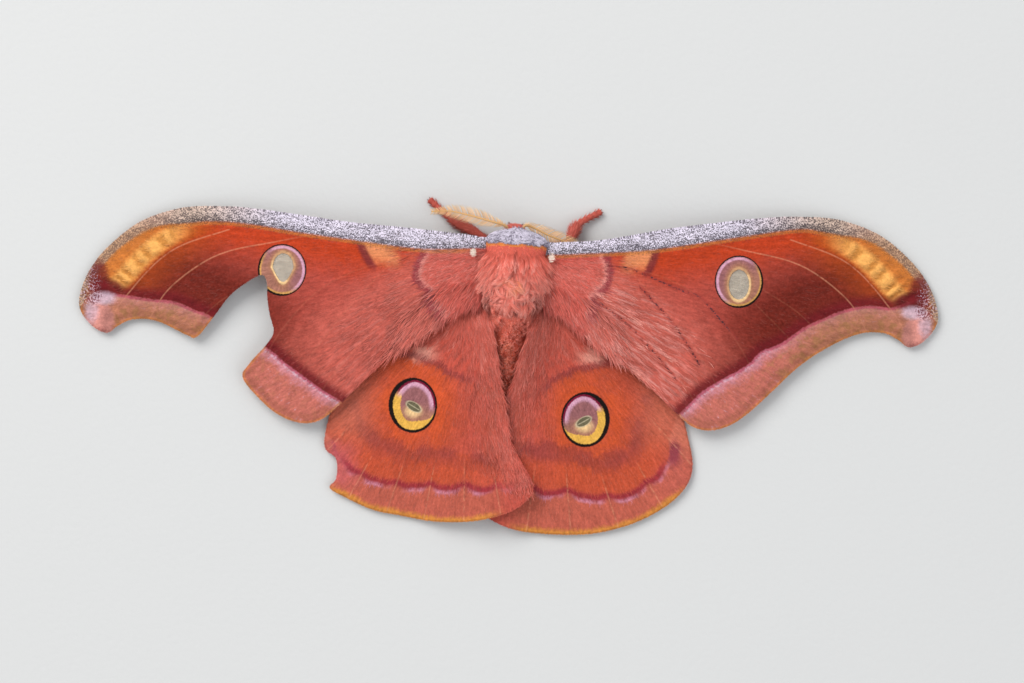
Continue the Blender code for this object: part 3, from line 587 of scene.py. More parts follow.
@dataclass(frozen=True)
class ForewingFinish(WingFinish):
    """Forewing: speckled grey edge, brick disc, dark outer field and ochre tip."""

    brick: Colour = (0.43, 0.070, 0.050)
    ember: Colour = (0.49, 0.048, 0.013)
    rose: Colour = (0.56, 0.115, 0.085)
    dusk: Colour = (0.115, 0.009, 0.004)
    wine: Colour = (0.15, 0.010, 0.014)
    magenta: Colour = (0.40, 0.045, 0.095)
    plum: Colour = (0.30, 0.040, 0.050)
    blush: Colour = (0.80, 0.34, 0.30)
    lavender: Colour = (0.60, 0.24, 0.29)
    outer: Colour = (0.54, 0.150, 0.115)
    outer_far: Colour = (0.44, 0.165, 0.100)
    moss: Colour = (0.36, 0.165, 0.070)
    grey: Colour = (0.78, 0.71, 0.84)
    grey_far: Colour = (0.66, 0.49, 0.40)
    grey_end: Colour = (0.60, 0.38, 0.22)
    near_black: Colour = (0.034, 0.026, 0.036)
    apricot: Colour = (0.82, 0.31, 0.13)
    rust: Colour = (0.47, 0.078, 0.012)
    ochre: Colour = (0.90, 0.44, 0.12)
    ochre_shade: Colour = (0.46, 0.15, 0.02)
    bar: Colour = (0.20, 0.025, 0.028)
    frost: Colour = (0.66, 0.48, 0.58)
    lobe: Colour = (0.62, 0.25, 0.21)
    amber: Colour = (0.66, 0.26, 0.055)
    streak: float = 0.6

    def pattern(self, r: Recipe) -> tuple[bpy.types.NodeSocket, Number]:
        """Paint the forewing.

        Args:
            r: The material's recipe.

        Returns:
            The colour, and how clear the wing is.
        """
        x, y, _ = r.parts("plan")
        band, outside, base = r.parts("lines_a")
        bar, vein, margin = r.parts("lines_b")
        fork, ripple, crease = r.parts("lines_c")
        wander = r.noise("plan", 0.5, 3.0) - 0.5
        fuzz = r.noise("plan", 2.2, 3.0, 4.0) - 0.5
        tint = r.noise("polar", 1.0, 3.0, 7.0, (0.25, 1.6, 1.0))
        outside = outside + fuzz * 0.5
        base = base + 1.15 + fuzz * 0.8 + wander * 1.2
        below = y - 17.0 + 0.62 * (x - 17.0) + wander * 4.0

        streaked = below.fall(-4.0, 2.0) * tint.rise(0.46, 0.64) * x.fall(24.0, 38.0)
        dark = (x + wander * 6.0).rise(29.0, 46.0) * (outside + wander * 3.0).rise(-15.0, -5.5)
        upper = fork.rise(-6.0, 0.5) * x.rise(46.0, 58.0)
        furry = base.fall(-0.5, 0.6)
        rear = (y + 0.75 * x + wander * 4.0).fall(14.0, 18.0)
        patch = bar.stripe(-2.4, 1.6, 1.6) * (band + fuzz * 1.5).rise(-4.4, -1.4)
        patch = patch * base.rise(0.8, 3.6)

        tip = fork.rise(0.1, 0.8) * x.rise(50.0, 56.0)
        amber = (fork + fuzz).rise(0.8, 2.6) * (x - fork).rise(50.0, 60.0)
        amber = amber * (y + wander * 2.0).rise(10.0, 14.0)
        glow = (fork + fuzz * 0.8).stripe(2.3, 0.7, 1.5) * x.rise(54.0, 61.0) * y.rise(10.8, 12.6)
        # Painted shade in the troughs of the puffed ripples by the wing's tip.
        folds = (ripple + fuzz * 1.8 + wander * 2.4).fall(-0.85, 0.45)
        folds = folds * (fork + fuzz).stripe(2.3, 0.6, 1.3) * x.rise(57.0, 60.5)

        clear_line = 0.07 + 0.33 * x.rise(34.0, 44.0) * fork.rise(-7.5, -5.5)
        clear_line = clear_line * (1.0 - 0.6 * outside.rise(0.0, 0.6))
        broken = r.noise("plan", 1.1, 1.0, 2.0).rise(0.15, 0.5)
        lines = vein.fall(0.04, 0.2) * base.rise(1.0, 3.0) * clear_line * broken
        dashes = r.noise("plan", 2.8, 1.0, 2.0).rise(0.42, 0.56)
        colour = r.layers(
            self.brick,
            (self.ember, (band + wander * 4.0).rise(-9.0, -1.5)),
            (self.rose, below.fall(-2.0, 5.0) * 0.85),
            (self.blush, streaked * self.streak),
            (self.dusk, dark * (0.84 + fuzz * 0.5)),
            (self.rust, upper * 0.5),
            (self.fur, furry),
            (self.blush, furry * tint.rise(0.5, 0.68) * 0.35),
            (self.fur_shade, furry * rear * 0.6),
            (self.blush, base.stripe(-0.75, 0.1, 0.6) * y.rise(8.0, 12.0) * 0.5),
            (self.plum, base.stripe(0.2, 0.35, 0.7) * y.rise(7.5, 11.0) * 0.9),
            (self.apricot, patch * 0.8),
            (self.bar, bar.stripe(0.0, 0.3, 0.75) * band.rise(-5.2, -3.4) * 0.9),
            (self.rust, tip),
            (self.amber, amber * 0.55),
            (self.ochre, glow * 0.9),
            (self.ochre_shade, folds * y.rise(11.5, 13.0) * 0.62),
            (self.wine, outside.stripe(0.0, 0.3, 2.0) * 0.9),
            (self.outer_rim(r, x, outside, margin, wander, fuzz), outside.rise(0.15, 0.45)),
            (self.vein, lines),
            # Painted shade along the creases, with a near-black dotted line in each one.
            (self.fur_shade, crease.fall(0.1, 0.5) * 0.5),
            (self.near_black, crease.fall(0.08, 0.24) * dashes * 0.85))
        colour = self.edge_band(r, colour, band + fuzz * 0.3, x)
        colour = self.tip_lobe(r, colour, x, y, fuzz)
        return self.spot.draw(r, colour)

    def outer_rim(self, r: Recipe, x: Signal, outside: Signal, margin: Signal, wander: Signal,
                  fuzz: Signal) -> bpy.types.NodeSocket:
        """Paint the pale rim beyond the wing's outer line.

        Args:
            r: The material's recipe.
            x: Place along the wing.
            outside: Distance out from the outer line.
            margin: Distance in from the outline.
            wander: Slow noise that bends the borders.
            fuzz: Fine noise that breaks the borders up.

        Returns:
            The rim's colour.
        """
        moss = r.noise("plan", 0.7, 3.0, 17.0)
        flecks = r.noise("polar", 1.6, 3.0, 14.0, (0.8, 2.4, 1.0))
        pale = (outside + fuzz * 2.0 + wander * 2.0).fall(0.9, 2.8)
        frosted = flecks.rise(0.56, 0.68) * (moss + 0.1).fall(0.42, 0.62)
        crisp = (outside + fuzz * 0.5).stripe(0.85, 0.05, 0.35) * flecks.rise(0.4, 0.6)
        return r.layers(
            self.outer,
            (self.outer_far, x.rise(44.0, 56.0)),
            (self.moss, moss.rise(0.46, 0.64) * (0.15 + 0.6 * x.rise(38.0, 52.0))),
            (self.lavender, pale * (1.0 - 0.75 * x.rise(42.0, 54.0)) * 0.8),
            (self.frost, frosted * (1.0 - 0.7 * x.rise(42.0, 52.0)) * 0.6),
            (self.magenta, outside.stripe(0.5, 0.08, 0.4) * 0.7),
            (self.frost, crisp * (1.0 - 0.9 * x.rise(40.0, 48.0)) * 0.5),
            (self.margin_shade, (margin + fuzz * 0.6).stripe(1.0, 0.1, 0.9) * 0.3),
            (self.margin, (margin + fuzz * 0.5).fall(0.1, 0.55) * 0.7))

    def edge_band(self, r: Recipe, colour: object, band: Signal,
                  x: Signal) -> bpy.types.NodeSocket:
        """Paint the speckled grey band along the wing's front edge.

        Args:
            r: The material's recipe.
            colour: Colour of the rest of the wing.
            band: Distance into the band from its lower border.
            x: Place along the wing.

        Returns:
            The colour with the band.
        """
        specks = r.noise("plan", 5.6, 2.0, 6.0)
        patches = r.noise("plan", 0.6, 2.0, 21.0) - 0.5
        brown = (x - band * 2.0).rise(56.0, 64.0)
        narrow = x.rise(56.0, 63.0)
        band = band - narrow
        crowd = 0.468 + band.fall(0.2, 1.7) * 0.085 + patches * 0.14 + x.rise(14.0, 22.0) * 0.012
        black = (specks - crowd).fall(-0.035, 0.035)
        spray = (specks - 0.37 - band.rise(-1.6, 0.2) * 0.1).fall(-0.02, 0.02)
        grey = r.layers(
            self.grey,
            (self.grey_far, x.rise(38.0, 56.0)),
            (self.grey_end, brown * 0.7),
            (self.near_black, black * (0.86 - 0.2 * x.rise(54.0, 64.0))))
        return r.layers(
            colour,
            (self.margin, band.stripe(-0.15, 0.15, 0.45) * x.rise(4.0, 9.0) * 0.6),
            (self.near_black, spray * band.rise(-1.8, -0.2) * 0.5),
            (grey, (band + narrow * 0.3).rise(-0.15, 0.35) * (1.0 - narrow * 0.2)))

    def tip_lobe(self, r: Recipe, colour: object, x: Signal, y: Signal,
                 fuzz: Signal) -> bpy.types.NodeSocket:
        """Paint the dark patch, the frosted patch and the pale lobe at the wing's tip, the lobe with
        painted light and shade.

        Args:
            r: The material's recipe.
            colour: Colour of the rest of the wing.
            x: Place along the wing.
            y: Place across the wing.
            fuzz: Noise that breaks the borders up.

        Returns:
            The colour with the tip.
        """
        def spot(middle_x: float, middle_y: float, flat: float, reach: float,
                 soft: float) -> Signal:
            """Oval patch at a place of the tip."""
            far = r.oval(x - middle_x, (y - middle_y) * flat) + fuzz * 0.9
            return far.fall(reach, reach + soft)

        specks = r.noise("plan", 3.6, 2.0, 8.0)
        # The lobe is lighter down a stripe near its middle and darker to each side: a painted highlight
        # and painted shade on its rolled fold.
        lit_lobe = r.lit(self.lobe, 0.72 + 0.4 * x.stripe(71.8, 0.3, 1.5) + fuzz * 0.4)
        return r.layers(
            colour,
            (self.wine, spot(71.6, 13.6, 0.55, 1.2, 1.2) * 0.85),
            (self.wine, spot(69.4, 12.1, 1.3, 1.2, 1.4) * 0.85),
            (lit_lobe, spot(71.3, 6.4, 0.8, 2.1, 1.0)),
            # Painted shade in a crease near the lobe's end.
            (self.wine, spot(71.0, 4.7, 1.6, 0.3, 1.1) * 0.35),
            (self.frost, spot(70.8, 10.3, 2.0, 1.3, 1.8) * 0.75),
            (self.frost, spot(72.7, 8.0, 0.6, 0.5, 1.2) * 0.6),
            (self.margin_shade, spot(72.6, 4.9, 1.2, 0.2, 1.0) * 0.5),
            (self.frost, specks.rise(0.54, 0.62) * spot(73.3, 12.4, 0.5, 1.4, 1.0) * 0.6),
            (self.wine, specks.fall(0.44, 0.5) * spot(72.6, 10.8, 1.0, 1.2, 1.0) * 0.8))


@dataclass(frozen=True)
class HindwingFinish(WingFinish):
    """Hindwing: pink hair at its base, an orange disc and a scalloped outer line."""

    disc: Colour = (0.47, 0.075, 0.040)
    orange: Colour = (0.60, 0.088, 0.028)
    pale: Colour = (0.54, 0.086, 0.058)
    inner: Colour = (0.55, 0.090, 0.064)
    bare: Colour = (0.80, 0.36, 0.28)
    shade: Colour = (0.22, 0.038, 0.042)
    wine: Colour = (0.27, 0.018, 0.040)
    lavender: Colour = (0.66, 0.27, 0.38)
    outer: Colour = (0.49, 0.108, 0.070)
    rosy: Colour = (0.56, 0.115, 0.120)
    side: Colour = (0.56, 0.150, 0.095)
    dusky: Colour = (0.22, 0.030, 0.055)
    gold: Colour = (0.64, 0.25, 0.045)
    flank: float = 0.7

    def pattern(self, r: Recipe) -> tuple[bpy.types.NodeSocket, Number]:
        """Paint the hindwing.

        Args:
            r: The material's recipe.

        Returns:
            The colour, and how clear the wing is.
        """
        x, y, _ = r.parts("plan")
        _, outside, base = r.parts("lines_a")
        post, vein, margin = r.parts("lines_b")
        wander = r.noise("plan", 0.4, 3.0) - 0.5
        fuzz = r.noise("plan", 2.0, 3.0, 4.0) - 0.5
        scallop = vein.rise(0.2, 1.9)
        outside = outside + fuzz * 0.4 - 0.45 * scallop
        base = base + fuzz * 0.8 + wander * 1.5

        far, _, _ = self.spot.place(r)
        worn = r.noise("plan", 0.22, 4.0, 25.0).rise(0.46, 0.6)
        drift = r.noise("polar", 1.0, 3.0, 7.0, (0.15, 1.0, 1.0))
        bare = (r.oval(x - 14.4, y - 1.7, 0.5, 1.4) + wander * 3.0).fall(0.6, 2.6)
        ruffle = (post + wander * 4.5 + fuzz * 2.5 - scallop * 0.8).stripe(0.0, 0.7, 1.9)
        low = y.fall(-18.5, -15.5)
        flank = (x + wander * 4.0).rise(24.0, 28.5) * (y + wander * 5.0).fall(-16.5, -12.5)
        flank = flank * (y + wander * 2.0).rise(-23.0, -20.0)
        lines = vein.fall(0.05, 0.2) * (outside + 5.0).rise(0.0, 4.0)
        broken = r.noise("plan", 1.1, 1.0, 2.0).rise(0.3, 0.55)

        cells = r.noise("plan", 0.35, 1.0, 11.0).rise(0.35, 0.6)
        stain = r.oval(x - 29.3, y + 15.1, 1.8, 0.5) + wander * 2.0
        edge = (margin + fuzz * 0.9 + wander * 1.2).fall(0.25, 1.4) * y.fall(-22.8, -20.0)
        rim = r.layers(
            self.outer,
            (self.side, y.rise(-18.0, -12.0) * x.rise(12.0, 22.0)),
            (self.lavender, outside.stripe(0.5, 0.1, 0.6) * cells * scallop * low * 0.75),
            (self.dusky, stain.fall(0.6, 2.4) * 0.85),
            (self.gold, edge * x.rise(-1.0, 4.0) * 0.9),
            (self.margin_shade, (margin + fuzz * 0.3).fall(0.05, 0.3) * 0.4))
        colour = r.layers(
            self.disc,
            (self.orange, (far + wander).fall(1.1, 2.4)),
            (self.inner, (x + wander * 5.0).fall(4.0, 11.0) * 0.8),
            (self.disc, worn * 0.55),
            (self.pale, (base + wander * 2.0).rise(-0.4, 0.8) * 0.9),
            (self.fur_tip, base.rise(0.5, 4.0) * drift.rise(0.52, 0.7) * 0.3),
            (self.bare, bare * 0.7),
            (self.shade, (base + fuzz).stripe(0.15, 0.2, 0.9) * x.rise(3.5, 8.0) * 0.62),
            (self.shade, ruffle * 0.55),
            (self.orange, (outside + wander * 2.0).stripe(-3.0, 1.0, 2.5) * 0.4),
            (self.side, x.rise(20.0, 28.0) * y.rise(-17.0, -9.0) * 0.7),
            (rim, outside.rise(-0.1, 0.35)),
            (self.rosy, flank * self.flank),
            (self.wine, outside.stripe(-0.15, 0.1, 0.9) * low * 0.75),
            (self.inner, (x + wander * 2.0).fall(-2.0, 3.5) * 0.9),
            (self.vein, lines * broken * 0.35))
        return self.spot.draw(r, colour)


@dataclass(frozen=True)
class BodyFinish:
    """Body: grey collar, orange-red back with pale tips, red-brown abdomen and legs."""

    grey: Colour = (0.68, 0.62, 0.74)
    grey_shade: Colour = (0.12, 0.10, 0.15)
    hem: Colour = (0.86, 0.26, 0.06)
    front: Colour = (0.78, 0.132, 0.090)
    middle: Colour = (0.80, 0.178, 0.132)
    tip: Colour = (0.96, 0.45, 0.38)
    rear: Colour = (0.80, 0.150, 0.100)
    belly: Colour = (0.62, 0.075, 0.034)
    belly_light: Colour = (0.82, 0.20, 0.11)
    limb: Colour = (0.66, 0.122, 0.088)
    head: Colour = (0.60, 0.090, 0.064)
    hollow_shade: Colour = (0.10, 0.012, 0.010)
    white: Colour = (0.98, 0.78, 0.66)

    def pattern(self, r: Recipe) -> bpy.types.NodeSocket:
        """Paint the body by the place of each point along it.

        Args:
            r: The material's recipe.

        Returns:
            The colour.
        """
        x, y, z = r.parts("rest")
        head, limb, pale = r.parts("part")
        wander = r.noise("rest", 0.7, 3.0) - 0.5
        fuzz = r.noise("rest", 2.6, 3.0, 4.0) - 0.5
        place = y + wander * 1.6 + fuzz * 0.8
        light = r.noise("rest", 0.8, 2.0, 12.0).rise(0.5, 0.7)
        middle = x.size().fall(0.1, 0.45) * y.rise(14.5, 15.5) * y.fall(19.0, 20.5)
        groove = (x.size() - 3.9 + fuzz).size().fall(0.3, 1.2) * y.fall(12.0, 13.8)
        pit = r.oval(x - 0.75, y - 9.9, 2.5, 0.6)
        cracks = r.noise("rest", 0.8, 4.0, 2.0, (1.0, 0.7, 1.0))
        grain = r.noise("rest", 4.0, 2.0, 15.0)
        scallop = r.noise("rest", 0.8, 1.0, 19.0) - 0.5
        rear = (y - scallop * 2.0).fall(21.1, 21.8)
        grey = r.layers(
            self.grey,
            (self.grey_shade, (cracks - 0.5).size().fall(0.005, 0.04) * 0.95),
            (self.grey_shade, (grain + rear * 0.14).rise(0.54, 0.62) * (0.3 + 0.6 * rear)))
        return r.layers(
            self.front,
            (self.middle, place.fall(14.5, 17.5)),
            (self.rear, place.fall(9.5, 12.5)),
            (self.belly, place.fall(1.0, 9.5)),
            (self.belly_light, place.fall(6.0, 9.0) * light * 0.6),
            (self.hem, x.size().fall(0.4, 1.6) * y.stripe(14.2, 0.4, 1.2) * 0.4),
            # Painted shade along the thorax's middle parting, in the grooves by the wing roots and in the
            # pit among the locks.
            (self.hollow_shade, middle * 0.5),
            (self.hollow_shade, groove * y.rise(6.0, 8.5) * 0.6),
            (self.hollow_shade, pit.fall(0.4, 0.9) * z.rise(6.0, 8.0) * 0.8),
            (self.hem, (y + wander + fuzz * 0.4).rise(20.3, 20.55) * z.rise(4.0, 6.0)),
            (grey, (y + fuzz * 0.4).rise(20.75, 21.0)),
            (self.head, head),
            (self.limb, limb),
            (self.white, pale))

    def skin(self) -> bpy.types.Material:
        """Make the material of the skin under the coat."""
        r = Recipe("body_skin")
        relief = r.noise("rest", 3.0, stretch=(2.0, 0.7, 2.0), detail=4.0)
        r.bump(relief, 0.2, 0.9)
        # Darker where the relief dips and lighter on its rises: painted shade in the skin's low places.
        colour = r.lit(self.pattern(r), 0.6 + relief * 0.5)
        return r.finish(colour, 0.75 + relief * 0.1, specular_ior_level=0.2)

    def coat(self) -> bpy.types.Material:
        """Make the material of the body's hair."""
        r = Recipe("body_hair")
        along, chance, light = r.parts("hair")
        colour = r.lit(self.pattern(r), 0.76 + chance * 0.44)
        colour = r.paint(colour, self.tip, along.rise(0.2, 1.0) * light)
        # Darker toward each hair's root and lighter toward its tip: painted shade between the hairs.
        colour = r.lit(colour, 0.78 + along * 0.4)
        return r.finish(colour, 0.6, specular_ior_level=0.2)


@dataclass(frozen=True)
class FeelerFinish:
    """Feeler: tan shaft, with paler rays."""

    shaft: Colour = (0.88, 0.50, 0.20)
    ray: Colour = (0.92, 0.53, 0.22)
    end: Colour = (0.97, 0.66, 0.36)

    def material(self) -> bpy.types.Material:
        """Make the feeler's material."""
        r = Recipe("feeler")
        along, chance, ray = r.parts("hair")
        colour = r.paint(self.ray, self.end, along)
        colour = r.paint(self.shaft, colour, ray)
        colour = r.lit(colour, 0.75 + chance * 0.4)
        ringed = r.noise("rest", 6.0, detail=2.0)
        r.bump(ringed, 0.05)
        return r.finish(colour, 0.5 + ringed * 0.2, sheen_weight=0.15, sheen_roughness=0.5)


@dataclass(frozen=True)
class EyeFinish:
    """Eye: dark facets under a gloss."""

    dark: Colour = (0.020, 0.010, 0.009)
    light: Colour = (0.10, 0.045, 0.030)

    def material(self) -> bpy.types.Material:
        """Make the eye's material."""
        r = Recipe("eye_facets")
        rest = r.attribute("rest")
        cells = r.node("TexVoronoi", {"Vector": rest, "Scale": 14.0, "Randomness": 0.25})
        facet = Signal(r, cells.outputs["Distance"])
        cloud = r.noise("rest", 1.2, detail=2.0)
        colour = r.paint(self.dark, self.light, cloud.rise(0.45, 0.7) * 0.7)
        r.bump(1.0 - facet, 0.03)
        return r.finish(colour, 0.18 + facet * 0.2, coat_weight=0.6, coat_roughness=0.12)


@dataclass(frozen=True)
class ClawFinish:
    """Claw: dark horn, redder at its root."""

    dark: Colour = (0.035, 0.014, 0.010)
    root: Colour = (0.16, 0.035, 0.022)

    def material(self) -> bpy.types.Material:
        """Make the claw's material."""
        r = Recipe("claw_horn")
        along, chance, _ = r.parts("hair")
        colour = r.paint(self.root, self.dark, along.rise(0.1, 0.7))
        grain = r.noise("rest", 8.0, detail=3.0)
        r.bump(grain, 0.02)
        return r.finish(colour, 0.28 + 0.2 * grain + 0.05 * chance)


@dataclass(frozen=True)
class FloorFinish:
    """Plain pale floor."""

    pale: Colour = (0.665, 0.667, 0.665)

    def material(self) -> bpy.types.Material:
        """Make the floor's material."""
        r = Recipe("pale_floor")
        spot = r.node("NewGeometry", {}).outputs["Position"]
        cloud = Signal(r, r.node("TexNoise", {"Vector": spot, "Scale": 9.0}).outputs[0])
        grain = Signal(r, r.node("TexNoise", {"Vector": spot, "Scale": 900.0}).outputs[0])
        r.bump(grain, 0.15, 0.3)
        return r.finish(r.lit(self.pale, 0.985 + 0.03 * cloud), 0.8)


# Meshes


def add_thing(name: str, data: bpy.types.ID) -> bpy.types.Object:
    """Put a mesh, a lamp or a camera into the scene."""
    thing = bpy.data.objects.new(name, data)
    bpy.context.scene.collection.objects.link(thing)
    return thing


def make_piece(name: str, points: Array, faces: Array, marks: dict[str, Array],
               material: bpy.types.Material, normals: Array | None = None) -> bpy.types.Object:
    """Make a smooth-shaded piece that rides on the body.

    Args:
        name: Name of the piece.
        points: Points in millimetres of the wings' frame.
        faces: Triangles, three points a row.
        marks: Vectors that each point carries for the material.
        material: The piece's finish.
        normals: Way that each point faces, where it isn't the way of its own faces.

    Returns:
        The new object.
    """
    mesh = bpy.data.meshes.new(name)
    mesh.vertices.add(len(points))
    mesh.vertices.foreach_set("co", to_world(points).astype(np.float32).ravel())
    mesh.loops.add(3 * len(faces))
    mesh.loops.foreach_set("vertex_index", faces.astype(np.int32).ravel())
    mesh.polygons.add(len(faces))
    mesh.polygons.foreach_set("loop_start", np.arange(0, 3 * len(faces), 3, dtype=np.int32))
    mesh.polygons.foreach_set("use_smooth", np.ones(len(faces), bool))
    for key, values in marks.items():
        layer = mesh.attributes.new(key, "FLOAT_VECTOR", "POINT")
        layer.data.foreach_set("vector", values.astype(np.float32).ravel())
    mesh.update(calc_edges=True)
    if normals is not None:
        mesh.normals_split_custom_set_from_vertices(normals)
    mesh.materials.append(material)
    thing = add_thing(name, mesh)
    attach(thing, "root")
    log.info("%s: %d triangles", name, len(faces))
    return thing


@dataclass(frozen=True)
class Hair:
    """One kind of hair, with the spans of its length, width and lift."""

    length: Span
    width: Span
    lift: Span
    count: int = 0
    box: tuple[Span, Span] = ((0.0, 0.0), (0.0, 0.0))
    rings: int = 3
    gather: float = 0.0
    cell: float = 1.3

    def draw(self, rng: np.random.Generator, count: int, size: Array | float = 1.0,
             stand: Array | float = 1.0) -> tuple[Array, Array, Array]:
        """Draw the length, width and lift of every hair.

        Args:
            rng: The random draws of the form that the hair grows on.
            count: How many hairs.
            size: Share of the kind's length.
            stand: Share of the kind's lift.

        Returns:
            Lengths, widths and lifts.
        """
        drawn = [rng.uniform(low, high, count) if low < high else np.full(count, low)
                 for low, high in (self.length, self.width, self.lift)]
        return drawn[0] * size, drawn[1], drawn[2] * stand


@dataclass
class Tufts:
    """Many like tufts: the path of each one, its outward ways, width and marks."""

    paths: Array
    outs: Array
    widths: Array
    marks: dict[str, Array]
    chart: Array
    flat: float = 0.35
    even: float = 0.5

    def mesh(self) -> tuple[Array, Array, dict[str, Array], Array, Array]:
        """Give every tuft a three-sided body that is closed at its root and ends in a point.

        Returns:
            Points, triangles, marks of each point, the map's place of each corner, and the
            way that each point faces, between its own and the way out of the coat.
        """
        count, rings, _ = self.paths.shape
        ahead = np.gradient(self.paths, axis=1)
        aside = unit(np.cross(ahead, self.outs))
        over = unit(np.cross(aside, ahead))
        t = np.linspace(0.0, 1.0, rings)[:-1]
        width = (self.widths[:, None] * (0.7 + 1.3 * t * (1.0 - t)) * (1.0 - 0.35 * t))[..., None]
        body = self.paths[:, :-1]
        left = body - aside[:, :-1] * 0.5 * width
        right = body + aside[:, :-1] * 0.5 * width
        top = body + over[:, :-1] * self.flat * width
        ringed = np.stack([left, right, top], axis=2).reshape(count, -1, 3)
        points = np.concatenate([ringed, self.paths[:, -1:]], axis=1)
        each = points.shape[1]
        own = np.stack([over - aside, over + aside, over], axis=2)[:, :-1].reshape(count, -1, 3)
        own = unit(np.concatenate([own, over[:, -1:]], axis=1))
        outs = np.concatenate([np.repeat(self.outs[:, :-1], 3, axis=1), self.outs[:, -1:]], axis=1)
        share = self.even * np.clip(0.6 + 2.0 * outs[..., 2:], 0.0, 1.0)
        normals = unit(own * (1.0 - share) + outs * share)

        faces = [(0, 1, 2)]
        corners = [((0.0, 0.0), (0.33, 0.0), (0.67, 0.0))]
        for i in range(rings - 1):
            low, high = i / (rings - 1), (i + 1) / (rings - 1)
            for k in range(3):
                a, b = 3 * i + k, 3 * i + (k + 1) % 3
                near, far = k / 3.0, (k + 1) / 3.0
                if i < rings - 2:
                    faces += [(b, a, a + 3), (b, a + 3, b + 3)]
                    corners += [((far, low), (near, low), (near, high)),
                                ((far, low), (near, high), (far, high))]
                else:
                    faces.append((b, a, each - 1))
                    corners.append(((far, low), (near, low), (near + 0.17, 1.0)))
        shift = np.arange(count)[:, None, None] * each
        all_faces = (np.array(faces)[None] + shift).reshape(-1, 3)
        places = (np.array(corners).reshape(-1, 2) - 0.5) * PATCH
        chart = (self.chart[:, None, :] + places[None]).reshape(-1, 2)

        marks = {}
        for key, values in self.marks.items():
            marks[key] = np.repeat(values[:, None, :], each, axis=1)
        along = np.append(np.repeat(t, 3), 1.0)
        marks["hair"][:, :, 0] = along
        flat_marks = {key: values.reshape(-1, 3) for key, values in marks.items()}
        return points.reshape(-1, 3), all_faces, flat_marks, chart, normals.reshape(-1, 3)


def make_coat(name: str, parts: list[Tufts], material: bpy.types.Material) -> bpy.types.Object:
    """Join sets of tufts into one piece of coat.

    Args:
        name: Name of the piece.
        parts: Sets of tufts that carry the same marks.
        material: The coat's finish.

    Returns:
        The new object.
    """
    made = [part.mesh() for part in parts]
    points = np.concatenate([item[0] for item in made])
    shifts = np.cumsum([0] + [len(item[0]) for item in made[:-1]])
    faces = np.concatenate([item[1] + shift for item, shift in zip(made, shifts)])
    marks = {key: np.concatenate([item[2][key] for item in made]) for key in made[0][2]}
    chart = np.concatenate([item[3] for item in made])
    normals = np.concatenate([item[4] for item in made])
    thing = make_piece(name, points, faces, marks, material, normals)
    layer = thing.data.uv_layers.new(name="OFBake")
    layer.data.foreach_set("uv", chart.astype(np.float32).ravel())
    return thing


def loft(rings: list[Array]) -> tuple[Array, Array]:
    """Join rings of equal count into a closed skin of triangles.

    Args:
        rings: Rings of points, each in the same order.

    Returns:
        Points and triangles.
    """
    sides = len(rings[0])
    points = np.concatenate(list(rings) + [[rings[0].mean(axis=0)], [rings[-1].mean(axis=0)]])
    start, end = len(points) - 2, len(points) - 1
    faces = []
    for i in range(len(rings) - 1):
        for k in range(sides):
            a, b = i * sides + k, i * sides + (k + 1) % sides
            faces += [(a, b, b + sides), (a, b + sides, a + sides)]
    last = (len(rings) - 1) * sides
    for k in range(sides):
        faces.append((start, (k + 1) % sides, k))
        faces.append((end, last + k, last + (k + 1) % sides))
    return points, np.array(faces)


def path_ways(path: Array) -> tuple[Array, Array, Array]:
    """Find the ways forward, aside and up at each point of a path."""
    ahead = unit(np.gradient(path, axis=0))
    aside = unit(np.cross(ahead, np.array([0.0, 0.0, 1.0])))
    return ahead, aside, np.cross(aside, ahead)


def tube(path: Array, radii: Array, sides: int) -> tuple[Array, Array]:
    """Loft a round tube along a path."""
    _, aside, up = path_ways(path)
    angles = math.tau * (np.arange(sides) + 0.5) / sides
    rings = []
    for i, radius in enumerate(radii):
        ways = np.outer(np.cos(angles), aside[i]) + np.outer(np.sin(angles), up[i])
        rings.append(path[i] + radius * ways)
    return loft(rings)


# Wings


